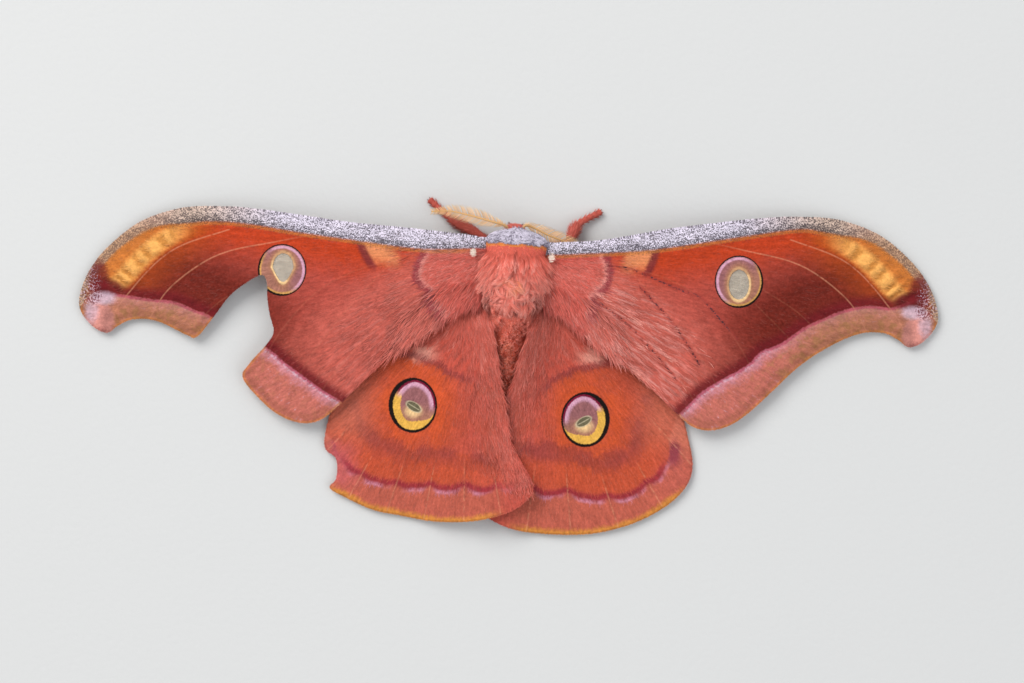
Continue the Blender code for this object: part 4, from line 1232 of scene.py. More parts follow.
@dataclass
class Wing:
    """One wing: its plan, the heights it lies at, and the marks on it."""

    side: Side
    outline: Plan
    finish: WingFinish
    veins: list[Plan]
    root: Span
    seed: int
    grid: float = 0.42
    rim_step: float = 0.4
    vein_gap: float = 0.3
    half_thickness: float = 0.07
    vein_rise: float = 0.16
    scales: Hair = Hair((0.7, 1.1), (0.15, 0.15), (0.02, 0.02))
    scale_gap: float = 0.13
    scale_length: float = 0.36
    scale_root: float = 0.22

    def __post_init__(self) -> None:
        """Sample the outline and the veins once."""
        self.rng = np.random.default_rng(self.seed)
        self.rim = smooth_path(self.outline, self.rim_step, closed=True)
        self.vein_paths = [smooth_path(vein, 1.2) for vein in self.veins]

    @property
    def name(self) -> str:
        """Name of the CAD node that this wing stands for."""
        return f"{self.pair()}_{self.side.value}"

    def pair(self) -> str:
        """Name of the wing's pair."""
        raise NotImplementedError

    def height(self, x: Array, y: Array) -> Array:
        """Height of the wing's middle layer."""
        raise NotImplementedError

    def marks(self, plan: Array) -> dict[str, Array]:
        """Measure how points of the plan lie to the wing's lines."""
        raise NotImplementedError

    def relief(self, plan: Array, marks: dict[str, Array]) -> Array:
        """Rise of the sheet over its plain form."""
        raise NotImplementedError

    def placed(self, plan: Array, height: Array) -> Array:
        """Set points of the plan at a height, on the wing's own side.

        Args:
            plan: Points of the plan, in their last axis.
            height: Height of each of them.

        Returns:
            Points of the wings' frame.
        """
        sign = -1.0 if self.side is Side.LEFT else 1.0
        points = stacked(plan[..., 0] * sign, plan[..., 1], height)
        pull = 1.0 - smoothstep(*BODY_PULL, np.abs(points[..., 0]))[..., None]
        return points + (turned(points, BODY_YAW) - points) * pull

    def seen(self, plan: Array) -> Array:
        """Places that points of the plan take as seen from above, mirrored to the right."""
        spot = self.placed(plan, np.zeros(len(plan)))[:, :2]
        return spot * ((-1.0, 1.0) if self.side is Side.LEFT else (1.0, 1.0))

    def common_marks(self, plan: Array) -> dict[str, Array]:
        """Measure what every wing carries: its plan and the scales' run from the root."""
        off = plan - np.array(self.root)
        reach = np.linalg.norm(off, axis=1)
        angle = np.arctan2(off[:, 1], off[:, 0])
        return {"plan": stacked(*self.seen(plan).T, 0.0),
                "polar": stacked(reach, 30.0 * angle, 0.0)}

    def rim_distance(self, plan: Array) -> Array:
        """Distance to the outline."""
        closed = np.concatenate([self.rim[::2], self.rim[:1]])
        return np.abs(path_field(plan, closed)[0])

    def vein_distance(self, plan: Array) -> Array:
        """Distance to the nearest vein."""
        return np.min([np.abs(path_field(plan, path)[0]) for path in self.vein_paths], axis=0)

    def plan_points(self) -> Array:
        """Fill the plan with a jittered grid that keeps clear of the veins' own points."""
        low, high = self.rim.min(axis=0), self.rim.max(axis=0)
        rows = np.arange(low[1], high[1], self.grid * math.sqrt(0.75))
        columns = np.arange(low[0], high[0], self.grid)
        x, y = np.meshgrid(columns, rows)
        x = x + 0.5 * self.grid * (np.arange(len(rows)) % 2)[:, None]
        plan = np.stack([x.ravel(), y.ravel()], axis=1)
        plan += self.rng.uniform(-0.12, 0.12, plan.shape) * self.grid
        plan = plan[inside(plan, self.rim)]
        clear = (self.rim_distance(plan) > 0.5 * self.grid)
        plan = plan[clear & (self.vein_distance(plan) > self.vein_gap)]
        crests = np.concatenate([smooth_path(vein, self.grid) for vein in self.veins])
        crests = crests[inside(crests, self.rim)]
        crests = crests[self.rim_distance(crests) > 0.5 * self.grid]
        return np.concatenate([plan, crests])

    def sheet(self) -> bpy.types.Object:
        """Make the wing's sheet with both its faces.

        Returns:
            The sheet, which stands for the wing's CAD node.
        """
        inner = self.plan_points()
        count = len(self.rim)
        seeds = [Vector(point) for point in np.concatenate([self.rim, inner])]
        edges = [(i, (i + 1) % count) for i in range(count)]
        result = delaunay_2d_cdt(seeds, edges, [list(range(count))], 1, 1e-4, False)
        plan = np.array([tuple(point) for point in result[0]])
        faces = np.array([tuple(face) for face in result[2]])
        faces = faces[inside(plan[faces].mean(axis=1), self.rim)]
        marks = self.marks(plan)
        middle = self.height(plan[:, 0], plan[:, 1]) + self.relief(plan, marks)
        upper = self.placed(plan, middle + self.half_thickness)
        lower = self.placed(plan, middle - self.half_thickness)
        total = len(plan)

        directed = {(face[k], face[(k + 1) % 3]) for face in faces.tolist() for k in range(3)}
        rim = [edge for edge in sorted(directed) if (edge[1], edge[0]) not in directed]
        walls = [[(b, a, total + a), (b, total + a, total + b)] for a, b in rim]
        skin = np.concatenate([faces, faces[:, ::-1] + total, np.array(walls).reshape(-1, 3)])
        if self.side is Side.LEFT:
            skin = skin[:, ::-1]
        doubled = {key: np.concatenate([values, values]) for key, values in marks.items()}
        thing = make_piece(self.name + "_sheet", np.concatenate([upper, lower]), skin, doubled,
                           self.finish.skin())
        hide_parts(self.name)
        return thing

    def scatter(self, hair: Hair, thickly: Density) -> Array:
        """Draw the roots of one kind of hair inside the outline.

        Args:
            hair: The kind of hair, with the box that its roots are drawn in.
            thickly: Share of the roots that is kept at each point.

        Returns:
            Points of the plan.
        """
        kept = np.empty((0, 2))
        while len(kept) < hair.count:
            tries = self.rng.uniform(*hair.box, (3 * hair.count, 2))
            tries = tries[self.rng.random(len(tries)) < thickly(tries)]
            kept = np.concatenate([kept, tries[inside(tries, self.rim)]])
        return kept[:hair.count]

    def lie_from(self, roots: Array, origin: Span, spread: float) -> Array:
        """Point away from an origin, with some disorder."""
        ways = unit(roots - np.array(origin))
        return unit(ways + self.rng.normal(0.0, spread, ways.shape))

    def tufts(self, hair: Hair, roots: Array, lies: Array, light: float | Array,
              size: float | Array = 1.0, stand: float | Array = 1.0) -> Tufts:
        """Lay tufts along the wing's upper face.

        Args:
            hair: The kind of hair.
            roots: Roots in the plan.
            lies: The way each one lies, in the plan.
            light: How pale their tips are.
            size: Share of the kind's length.
            stand: Share of the kind's lift.

        Returns:
            The tufts, with the marks of their roots.
        """
        count = len(roots)
        lengths, widths, lift = hair.draw(self.rng, count, size, stand)
        t = np.linspace(0.0, 1.0, hair.rings)[None, :, None]
        bend = self.rng.normal(0.0, 0.12, (count, 1, 1)) * t ** 2
        aside = stacked(-lies[:, 1], lies[:, 0])[:, None]
        plan = roots[:, None] + (lies[:, None] * t + aside * bend) * lengths[:, None, None]
        if hair.gather > 0.0:
            cells = hair.cell * np.round(roots / hair.cell + 0.35 * np.sin(roots[:, ::-1] * 2.1))
            plan = plan + (cells - roots)[:, None] * hair.gather * t ** 2
        flat = plan.reshape(-1, 2)
        base = self.height(flat[:, 0], flat[:, 1]).reshape(count, hair.rings)
        marks = self.marks(roots)
        swell = self.relief(roots, marks)[:, None]
        rise = lift[:, None] * np.sin(math.pi * np.clip(t[..., 0] * 0.8 + 0.02, 0.0, 1.0)) - 0.03
        paths = self.placed(plan, base + swell + (self.half_thickness + rise))
        marks["lines_b"][:, 1] = np.maximum(marks["lines_b"][:, 1], 0.3)
        chance = self.rng.random(count)
        marks["hair"] = stacked(0.0, chance, light * self.rng.random(count))
        chart = 0.02 + (roots - self.rim.min(axis=0)) / 80.0
        return Tufts(paths, np.tile(UP, (*paths.shape[:2], 1)), widths, marks, chart)

    def fringe(self) -> Tufts:
        """Line the outline with short scales that point outward.

        Returns:
            The fringe.
        """
        edge = smooth_path(self.outline, self.scale_gap, closed=True)
        way = unit(np.roll(edge, -1, axis=0) - np.roll(edge, 1, axis=0))
        out = stacked(way[:, 1], -way[:, 0])
        if inside(edge[:1] + out[:1] * 0.3, self.rim)[0]:
            out = -out
        out = unit(out + self.rng.normal(0.0, 0.12, out.shape))
        return self.tufts(self.scales, edge - out * self.scale_root, out, 0.05,
                          size=self.scale_length)


@dataclass
class Forewing(Wing):
    """A forewing, which slopes from the thorax to the floor."""

    band: Plan = field(default_factory=list)
    outer_line: Plan = field(default_factory=list)
    base_line: Plan = field(default_factory=list)
    bar_line: Plan = field(default_factory=list)
    fork_line: Plan = field(default_factory=list)
    creases: list[Plan] = field(default_factory=list)
    fall_root: Span = (5.5, 15.5)
    fall_reach: Span = (69.5, 29.0)
    fall: float = 1.5
    root_height: float = 7.3
    tip_height: float = 1.0
    over_hind: float = 2.5
    over_hind_spread: Span = (34.0, 62.0)
    puff_start: float = 19.0
    puff_length: float = 2.9
    puff_shrink: float = 0.1
    streaks: float = 1.3
    base_fur: Hair = Hair((1.0, 1.9), (0.08, 0.13), (0.06, 0.2), 6300, ((3.0, 5.0), (21.0, 21.0)))
    rear_locks: Hair = Hair((2.4, 4.0), (0.10, 0.16), (0.2, 0.6), 2200,
                            ((5.0, 0.5), (21.0, 14.0)), rings=4, gather=0.5)
    streak_hair: Hair = Hair((1.6, 3.0), (0.07, 0.12), (0.03, 0.13), 2300,
                             ((10.0, -9.0), (38.0, 14.0)), rings=4, gather=0.3)
    short_hair: Hair = Hair((0.6, 1.1), (0.07, 0.12), (0.0, 0.05), 5700,
                            ((8.0, -11.0), (75.0, 26.0)))
    rear_edge: Plan = field(default_factory=lambda: [(5.0, 12.0), (12.5, 6.6), (19.0, 1.8)])

    def pair(self) -> str:
        """Name of the wing's pair."""
        return "forewing"

    def height(self, x: Array, y: Array) -> Array:
        """Height of the forewing's middle layer above the floor."""
        reach = np.hypot((x - self.fall_root[0]) / self.fall_reach[0],
                         (y - self.fall_root[1]) / self.fall_reach[1])
        raised = 1.0 - smoothstep(*self.over_hind_spread, x)
        edge = self.tip_height + (self.over_hind - self.tip_height) * raised
        return edge + (self.root_height - edge) * np.maximum(0.0, 1.0 - reach) ** self.fall

    def marks(self, plan: Array) -> dict[str, Array]:
        """Measure how points lie to the forewing's lines.

        Args:
            plan: Points of the plan.

        Returns:
            Vectors for the material, by name.
        """
        made = self.common_marks(plan)
        seen = self.seen(plan)
        fork, along = path_field(plan, smooth_path(self.fork_line, 1.0))
        run = np.clip(along - self.puff_start, -8.0, 20.0)
        turns = -np.log(1.0 - self.puff_shrink / self.puff_length * run) / self.puff_shrink
        ripple = np.cos(math.tau * turns + 0.8 * np.sin(1.3 * run))
        made["lines_a"] = stacked(gap(seen, self.band, 1.2), -gap(seen, self.outer_line, 1.0),
                                  gap(seen, self.base_line, 0.8))
        made["lines_b"] = stacked(gap(seen, self.bar_line, 0.8), self.vein_distance(plan),
                                  self.rim_distance(plan))
        made["lines_c"] = stacked(fork, ripple, self.crease_distance(plan))
        return made

    def crease_distance(self, plan: Array) -> Array:
        """Distance to the nearest crease, up to a far one where there is none."""
        return np.min([np.full(len(plan), 9.0)]
                      + [np.abs(gap(plan, line, 1.0)) for line in self.creases], axis=0)

    def clear(self, roots: Array) -> Array:
        """Tell which roots keep off the veins and the creases."""
        return (self.vein_distance(roots) > 0.22) & (self.crease_distance(roots) > 0.4)

    def relief(self, plan: Array, marks: dict[str, Array]) -> Array:
        """Rise of the sheet: veins, rolled front edge, creases, puffed tip and its lobe.

        Args:
            plan: Points of the plan.
            marks: What marks() says of them.

        Returns:
            The rise of each point.
        """
        x, y = plan[:, 0], plan[:, 1]
        band, outside, _ = marks["lines_a"].T
        _, vein, margin = marks["lines_b"].T
        fork, ripple, crease = marks["lines_c"].T
        rise = self.vein_rise * bell(vein, 0.28) * smoothstep(0.1, 0.7, margin)
        roll = smoothstep(-0.2, 0.8, band) * smoothstep(0.0, 0.9, margin)
        rise += 0.30 * roll * (1.0 - smoothstep(60.0, 68.0, x))
        rise -= 0.22 * bell(crease, 0.3) * smoothstep(0.5, 2.0, margin)
        puff = smoothstep(0.2, 1.6, fork) * smoothstep(0.0, 1.2, -band) * smoothstep(52.0, 58.0, x)
        puff *= smoothstep(10.5, 12.5, y)
        rise += puff * (0.25 + 0.26 * ripple)
        rise += 0.5 * np.exp(-((x - 71.7) ** 2 / 1.6 + (y - 6.4) ** 2 / 5.0))
        rise -= 0.2 * np.exp(-((x - 69.6) ** 2 / 0.8 + (y - 7.4) ** 2 / 3.0))
        wave = np.sin(x * 0.9 + 0.4 * y) * smoothstep(-1.0, 3.0, outside)
        rise += 0.10 * wave + 0.07 * np.sin(0.45 * x - 0.6 * y) * smoothstep(12.0, 20.0, x)
        return rise

    def coat(self) -> bpy.types.Object:
        """Make the forewing's coat: fur at its base, streaks, short scales and fringe.

        Returns:
            The coat.
        """
        def near_base(plan: Array) -> Array:
            """Thick over the base, thin beyond the first dark line, none on the grey band."""
            out = smoothstep(-1.4, -0.7, gap(self.seen(plan), self.base_line, 0.8))
            return (1.0 - 0.93 * out) * (1.0 - smoothstep(-0.9, -0.3, gap(plan, self.band, 2.0)))

        def trailing(plan: Array) -> Array:
            """Thick along the rear edge near the body."""
            near = 1.0 - smoothstep(2.0, 5.5, np.abs(gap(plan, self.rear_edge, 1.0)))
            return near * (1.0 - smoothstep(16.0, 21.0, plan[:, 0]))

        def anal(plan: Array) -> Array:
            """Streaks behind the last fork of the veins."""
            x, y = plan.T
            below = y - 15.0 + 0.68 * (x - 17.0)
            patches = smoothstep(-0.3, 0.6, np.sin(x * 0.9 + y * 1.7) * np.sin(y * 0.8 - x * 0.5))
            return (1.0 - smoothstep(-4.0, 2.0, below)) * smoothstep(10.0, 15.0, x) \
                * (1.0 - 0.85 * smoothstep(24.0, 34.0, x)) * (0.15 + 0.85 * patches)

        def everywhere(plan: Array) -> Array:
            """Even over the wing, but not on its windows."""
            spot = self.finish.spot
            off = (plan - np.array(spot.middle)) / np.array(spot.half_size)
            return 1.0 * (np.linalg.norm(off, axis=1) > 1.2)

        parts = []
        roots = self.scatter(self.base_fur, near_base)
        far = np.abs(gap(self.seen(roots), self.base_line, 0.8) + 1.0)
        size = 0.45 + 0.55 * smoothstep(0.3, 2.6, far)
        ways = self.lie_from(roots, (0.0, 21.5), 0.10)
        parts.append(self.tufts(self.base_fur, roots, ways, 0.42, size, size))

        roots = self.scatter(self.rear_locks, trailing)
        ways = unit(self.lie_from(roots, (2.0, 20.0), 0.08) + np.array([0.1, -0.45]))
        parts.append(self.tufts(self.rear_locks, roots, ways, 0.25))

        roots = self.scatter(self.streak_hair, anal)
        roots = roots[(gap(roots, self.outer_line, 1.0) > 3.4) & self.clear(roots)]
        off = roots - (0.0, 20.0)
        angle = np.arctan2(off[:, 1], off[:, 0])
        locks = np.sin(angle * 38.0 + 1.5 * np.sin(0.35 * np.linalg.norm(off, axis=1)))
        share = min(self.streaks, 1.0)
        pale = self.streaks * smoothstep(0.25, 0.95, locks) + 0.05 + 0.1 * share
        ways = self.lie_from(roots, (0.0, 20.0), 0.05)
        parts.append(self.tufts(self.streak_hair, roots, ways, pale, 0.6 + 0.4 * share))

        roots = self.scatter(self.short_hair, everywhere)
        ways = self.lie_from(roots, self.root, 0.08)
        kept = inside(roots + ways * 1.3, self.rim) & self.clear(roots)
        parts.append(self.tufts(self.short_hair, roots[kept], ways[kept], 0.12))
        parts.append(self.fringe())
        return make_coat(self.name + "_coat", parts, self.finish.coat())


@dataclass
class Hindwing(Wing):
    """A hindwing, whose inner edge rides on the abdomen."""

    outer_line: Plan = field(default_factory=list)
    base_line: Plan = field(default_factory=list)
    post_line: Plan = field(default_factory=list)
    inner_edge: Plan = field(default_factory=list)
    inner_lie: Span = (-0.2, -1.0)
    upper: bool = False
    fall_root: Span = (4.5, 10.0)
    fall_reach: Span = (28.5, 39.5)
    fall: float = 1.4
    root_height: float = 5.25
    margin_height: float = 0.95
    overlap_lift: float = 1.6
    ride_clearance: float = 0.9
    edge_hair: Hair = Hair((1.8, 3.3), (0.07, 0.12), (0.05, 0.3), 7400,
                           ((-7.0, -24.0), (24.0, 11.0)), rings=4, gather=0.35)
    short_hair: Hair = Hair((0.6, 1.2), (0.07, 0.12), (0.0, 0.06), 6600,
                            ((-7.0, -30.0), (34.0, 11.0)))

    def pair(self) -> str:
        """Name of the wing's pair."""
        return "hindwing"

    def height(self, x: Array, y: Array) -> Array:
        """Height of the hindwing's middle layer above the floor."""
        reach = np.hypot((x - self.fall_root[0]) / self.fall_reach[0],
                         (y - self.fall_root[1]) / self.fall_reach[1])
        fall = np.maximum(0.0, 1.0 - reach) ** self.fall
        height = self.margin_height + (self.root_height - self.margin_height) * fall
        ride = Body.top(y) + self.ride_clearance
        near = (1.0 - smoothstep(1.5, 7.5, x)) * (1.0 - smoothstep(5.5, 9.5, y))
        height = height + np.maximum(0.0, ride - height) * near
        if self.upper:
            over = (1.0 - smoothstep(7.0, 15.0, x)) * (1.0 - smoothstep(-8.0, 2.0, y))
            height = height + self.overlap_lift * over
        return height

    def marks(self, plan: Array) -> dict[str, Array]:
        """Measure how points lie to the hindwing's lines.

        Args:
            plan: Points of the plan.

        Returns:
            Vectors for the material, by name.
        """
        made = self.common_marks(plan)
        seen = self.seen(plan)
        made["lines_a"] = stacked(0.0, -gap(seen, self.outer_line, 0.8),
                                  gap(seen, self.base_line, 0.8))
        made["lines_b"] = stacked(gap(seen, self.post_line, 0.8), self.vein_distance(plan),
                                  self.rim_distance(plan))
        return made

    def relief(self, plan: Array, marks: dict[str, Array]) -> Array:
        """Rise of the sheet: veins and a wavy margin.

        Args:
            plan: Points of the plan.
            marks: What marks() says of them.

        Returns:
            The rise of each point.
        """
        _, outside, _ = marks["lines_a"].T
        _, vein, margin = marks["lines_b"].T
        reach, angle, _ = marks["polar"].T
        rise = self.vein_rise * bell(vein, 0.28) * smoothstep(0.1, 0.7, margin)
        rise *= smoothstep(6.0, 14.0, reach)
        rise += 0.14 * np.sin(angle * 0.85) * smoothstep(-2.0, 4.0, outside)
        rise += 0.08 * np.sin(0.5 * plan[:, 0] + 0.45 * plan[:, 1])
        return rise

    def coat(self) -> bpy.types.Object:
        """Make the hindwing's coat: long hair at its base and inner edge, short hair, fringe.

        Returns:
            The coat.
        """
        edge = smooth_path(self.inner_edge, 1.0)

        def from_edge(plan: Array) -> Array:
            """Distance to the inner edge."""
            return np.abs(path_field(plan, edge)[0])

        def past_line(plan: Array) -> Array:
            """Distance into the base, from its dark line."""
            return gap(self.seen(plan), self.base_line, 1.0)

        def near_edge(plan: Array) -> Array:
            """Thick by the inner edge and over the base."""
            over_base = smoothstep(1.0, 4.5, past_line(plan)) \
                * (1.0 - smoothstep(13.0, 23.0, plan[:, 0]))
            thick = np.maximum(1.0 - smoothstep(0.5, 9.0, from_edge(plan)), 0.6 * over_base)
            return thick * smoothstep(-23.5, -18.0, plan[:, 1])

        def outer(plan: Array) -> Array:
            """Even over the wing, but not on its eyespot."""
            return 1.0 - self.on_spot(plan, 1.25, 0.4)

        def lies(roots: Array, spread: float) -> Array:
            """Run along the inner edge near it, and out from the root elsewhere."""
            share = (1.0 - smoothstep(1.0, 9.0, from_edge(roots)))[:, None]
            radial = unit(roots - np.array([5.0, 14.0]))
            ways = radial + (np.array(self.inner_lie) - radial) * share
            return unit(unit(ways) + self.rng.normal(0.0, spread, ways.shape))

        roots = self.scatter(self.edge_hair, near_edge)
        roots = roots[~self.on_spot(roots, 1.45, 1.4)]
        size = 0.55 + 0.45 * smoothstep(-21.0, -12.0, roots[:, 1])
        close = 1.0 - smoothstep(0.5, 8.0, from_edge(roots))
        size *= np.maximum(0.7 * smoothstep(1.0, 6.0, past_line(roots)), close) * 0.65 + 0.35
        parts = [self.tufts(self.edge_hair, roots, lies(roots, 0.07), 0.1 + 0.3 * close, size,
                            0.2 + 0.8 * close)]

        roots = self.scatter(self.short_hair, outer)
        ways = lies(roots, 0.09)
        kept = inside(roots + ways * 1.3, self.rim)
        parts.append(self.tufts(self.short_hair, roots[kept], ways[kept], 0.15))
        parts.append(self.fringe())
        return make_coat(self.name + "_coat", parts, self.finish.coat())

    def on_spot(self, plan: Array, reach: float, ahead: float = 0.0) -> Array:
        """Tell which points lie on the eyespot or within some reach ahead of it."""
        spot = self.finish.spot
        off = (self.seen(plan) - np.array(spot.middle) - (0.0, ahead)) / np.array(spot.half_size)
        return np.linalg.norm(off, axis=1) < reach


# Body


@dataclass
class Body:
    """Skin of head, collar, thorax, abdomen and legs, and the coat over it."""

    finish: BodyFinish
    seed: int = 11
    inset: float = 0.4
    voxel: float = 0.21
    sides: int = 40
    head_middle: Triple = (-0.4, 22.2, 4.0)
    head_half: Triple = (2.3, 1.9, 2.05)
    leg_radius: Triple = (0.9, 0.89, 0.56)
    pads: int = 5

    # Place along the body, half width, height of the middle, half height
    SECTIONS = np.array([
        (-8.0, 0.6, 0.8, 0.55), (-6.5, 1.3, 1.2, 1.2), (-3.5, 2.2, 2.0, 1.9), (0.0, 3.1, 3.4, 2.6),
        (4.0, 3.8, 4.9, 3.3), (8.2, 4.2, 6.1, 3.95), (10.0, 4.9, 6.5, 4.4), (12.5, 5.3, 6.7, 4.6),
        (16.0, 5.5, 6.7, 4.5), (18.8, 5.4, 6.4, 4.1), (20.4, 5.7, 6.2, 3.8), (21.4, 5.7, 6.2, 3.6),
        (22.2, 5.1, 6.0, 3.1), (22.8, 4.2, 5.9, 2.6), (23.2, 2.9, 5.8, 2.0), (23.5, 1.2, 5.7, 1.0)])
    FORE_LEGS = {
        Side.LEFT: [(-0.6, 18.3, 3.6), (-5.1, 22.4, 2.6), (-10.5, 25.3, 1.3), (-14.2, 28.6, 0.5)],
        Side.RIGHT: [(3.2, 18.3, 3.6), (10.2, 21.3, 2.6), (11.8, 24.8, 1.3), (15.9, 27.0, 0.5)],
    }
    MIDDLE_LEG = [(2.5, 14.0, 3.4), (8.0, 16.0, 4.0), (13.0, 12.0, 1.2), (17.0, 9.0, 0.5)]
    HIND_LEG = [(2.6, 10.4, 3.4), (6.4, 5.0, 2.7), (9.2, -1.0, 1.2), (11.7, -6.0, 0.5)]
    PALP = [(0.8, 22.9, 3.1), (0.9, 23.9, 2.9), (0.75, 24.6, 3.2)]
    BACK = Hair((0.9, 1.5), (0.08, 0.13), (0.16, 0.34), 7000, ((8.0, -2.2), (20.75, 2.2)))
    BELLY = Hair((0.7, 1.3), (0.08, 0.13), (0.12, 0.28), 8500, ((-7.6, -2.6), (9.2, 2.6)),
                 gather=0.3, cell=1.6)
    COLLAR = Hair((0.35, 0.7), (0.1, 0.16), (0.18, 0.36), 8200, ((21.3, -1.75), (23.4, 1.75)),
                  gather=0.5, cell=1.0)
    COLLAR_FRONT = Hair((0.25, 0.55), (0.1, 0.15), (0.15, 0.32), 2200,
                        ((22.2, -1.6), (23.4, 1.6)), gather=0.3, cell=1.1)
    SHOULDER = Hair((2.0, 3.6), (0.09, 0.15), (0.25, 0.75), 1400, rings=4)
    FACE = Hair((0.4, 0.85), (0.07, 0.11), (0.08, 0.25), 3600)
    WHITE = Hair((0.4, 0.8), (0.06, 0.1), (0.05, 0.15), 120, rings=4)
    PALP_HAIR = Hair((0.2, 0.4), (0.06, 0.11), (0.12, 0.46), 260)
    LEG_HAIR = Hair((0.6, 1.25), (0.06, 0.11), (0.12, 0.46), 2300)
    WHITE_PLACES = ((-6.0, 19.2, 7.9), (7.0, 18.5, 7.9))
    LOCKS = (150, 28)
    KNOBS = (36, 118)

    def __post_init__(self) -> None:
        """Start the body's own random draws."""
        self.rng = np.random.default_rng(self.seed)

    @classmethod
    def section(cls, place: Array) -> Array:
        """Read half width, middle height and half height at places along the body."""
        table = cls.SECTIONS
        spot = np.clip(place, table[0, 0], table[-1, 0])
        i = np.clip(np.searchsorted(table[:, 0], spot) - 1, 0, len(table) - 2)
        t = smoothstep(0.0, 1.0, (spot - table[i, 0]) / (table[i + 1, 0] - table[i, 0]))[..., None]
        return table[i, 1:] + (table[i + 1, 1:] - table[i, 1:]) * t

    @classmethod
    def top(cls, place: Array) -> Array:
        """Height of the abdomen's back at places along it."""
        values = cls.section(np.minimum(place, 8.0))
        return values[..., 1] + values[..., 2]

    def surface(self, angle: Array, place: Array, rise: Array) -> tuple[Array, Array]:
        """Find points over the body.

        Args:
            angle: Angle from the top, positive to the right.
            place: Place along the body.
            rise: Height over the skin.

        Returns:
            The points and the ways out from them.
        """
        values = self.section(place)
        half_width, middle, half_height = (values[..., k] for k in range(3))
        half_width = half_width - self.inset
        half_height = half_height - self.inset
        out = unit(stacked(np.sin(angle) / half_width, 0.0, np.cos(angle) / half_height))
        spot = stacked(half_width * np.sin(angle), place, middle + half_height * np.cos(angle))
        points = spot + out * rise[..., None]
        points[..., 2] = np.maximum(points[..., 2], 0.08)
        return turned(points, BODY_YAW), turned(out, BODY_YAW)

    def leg_paths(self) -> dict[str, Array]:
        """Joints of all six legs, by the name of the leg."""
        paths = {}
        for side, sign in ((Side.LEFT, -1.0), (Side.RIGHT, 1.0)):
            paths[f"leg_fore_{side.value}"] = np.array(self.FORE_LEGS[side])
            for pair, points in (("mid", self.MIDDLE_LEG), ("hind", self.HIND_LEG)):
                mirrored = np.array(points) * (sign, 1.0, 1.0)
                paths[f"leg_{pair}_{side.value}"] = turned(mirrored, BODY_YAW)
        return paths

    def leg_run(self, joints: Array) -> tuple[Array, Array]:
        """Path and radii of one leg, with the pads of its foot.

        Args:
            joints: Root, knee, ankle and tip.

        Returns:
            Points along the leg and the radius at each.
        """
        femur, tibia, foot = self.leg_radius
        root, knee, ankle, tip = joints
        spots = []
        radii = []
        for a, b, size, stops in (
                (root, knee, femur, ((0.0, 0.9), (0.25, 1.0), (0.5, 1.0), (0.75, 0.9), (0.95, 0.7))),
                (knee, ankle, tibia, ((0.05, 0.75), (0.3, 0.95), (0.6, 1.05), (0.85, 0.9), (0.97, 0.7)))):
            for t, radius in stops:
                spots.append(a + (b - a) * t)
                radii.append(size * radius)
        for pad in range(self.pads):
            for edge, radius in ((0.08, 0.55), (0.35, 1.0), (0.75, 1.25), (0.96, 0.7)):
                spots.append(ankle + (tip - ankle) * (pad + edge) / self.pads)
                radii.append(foot * radius)
        return np.array(spots), np.array(radii)

    def forms(self) -> list[tuple[Array, Array]]:
        """Shapes that the skin is drawn over: trunk, head, legs and palps."""
        places = np.arange(-8.3, 23.2, 0.35)
        angles = math.tau * np.arange(self.sides) / self.sides
        rings = []
        for place in places:
            pleat = 0.12 * math.sin(math.tau * (8.0 - place) / 2.0) if place < 7.5 else 0.0
            rings.append(self.surface(angles, np.full(self.sides, place),
                                      np.full(self.sides, pleat))[0][::-1])
        shapes = [loft(rings)]
        bands = np.linspace(-1.0, 1.0, 22)[1:-1] * 0.5 * math.pi
        around = math.tau * np.arange(32) / 32
        rings = []
        for band in bands:
            ring = stacked(math.cos(band) * np.cos(around), math.cos(band) * np.sin(around),
                           math.sin(band))
            rings.append(turned(np.array(self.head_middle) + ring * self.head_half, BODY_YAW))
        shapes.append(loft(rings))
        for joints in self.leg_paths().values():
            spots, radii = self.leg_run(joints)
            shapes.append(tube(spots, radii, 14))
        for sign in (-1.0, 1.0):
            path = self.palp(sign, 0.3)
            radii = np.interp(np.linspace(0, 1, len(path)), [0.0, 0.5, 0.9, 1.0], [0.4, 0.42, 0.3, 0.1])
            shapes.append(tube(path, radii, 10))
        return shapes

    def skin(self) -> bpy.types.Object:
        """Make one skin over all the forms, with no seam between them.

        Returns:
            The skin, which stands for the CAD's nodes of flesh.
        """
        points = []
        faces = []
        shift = 0
        for form_points, form_faces in self.forms():
            points.append(form_points)
            faces.append(form_faces + shift)
            shift += len(form_points)
        mesh = bpy.data.meshes.new("forms")
        mesh.from_pydata(np.concatenate(points), [], np.concatenate(faces))
        rough = add_thing("forms", mesh)
        merged = rough.modifiers.new("one_skin", "REMESH")
        merged.mode = "VOXEL"
        merged.voxel_size = self.voxel
        eased = rough.modifiers.new("eased", "SMOOTH")
        eased.factor = 0.5
        eased.iterations = 3
        split = rough.modifiers.new("split", "TRIANGULATE")
        graph = bpy.context.evaluated_depsgraph_get()
        result = rough.evaluated_get(graph).to_mesh()
        co = np.empty(3 * len(result.vertices), np.float32)
        result.vertices.foreach_get("co", co)
        corners = np.empty(3 * len(result.polygons), np.int32)
        result.polygons.foreach_get("vertices", corners)
        rough.evaluated_get(graph).to_mesh_clear()
        rough.modifiers.remove(split)
        bpy.data.objects.remove(rough)
        co = co.reshape(-1, 3).astype(float)
        co[:, 2] = np.maximum(co[:, 2], 0.02)
        thing = make_piece("body_skin", co, corners.reshape(-1, 3), self.skin_marks(co),
                           self.finish.skin())
        flesh = ["head", "collar", "thorax", "abdomen", "palp_left", "palp_right"]
        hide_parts(*flesh, *self.leg_paths())
        return thing

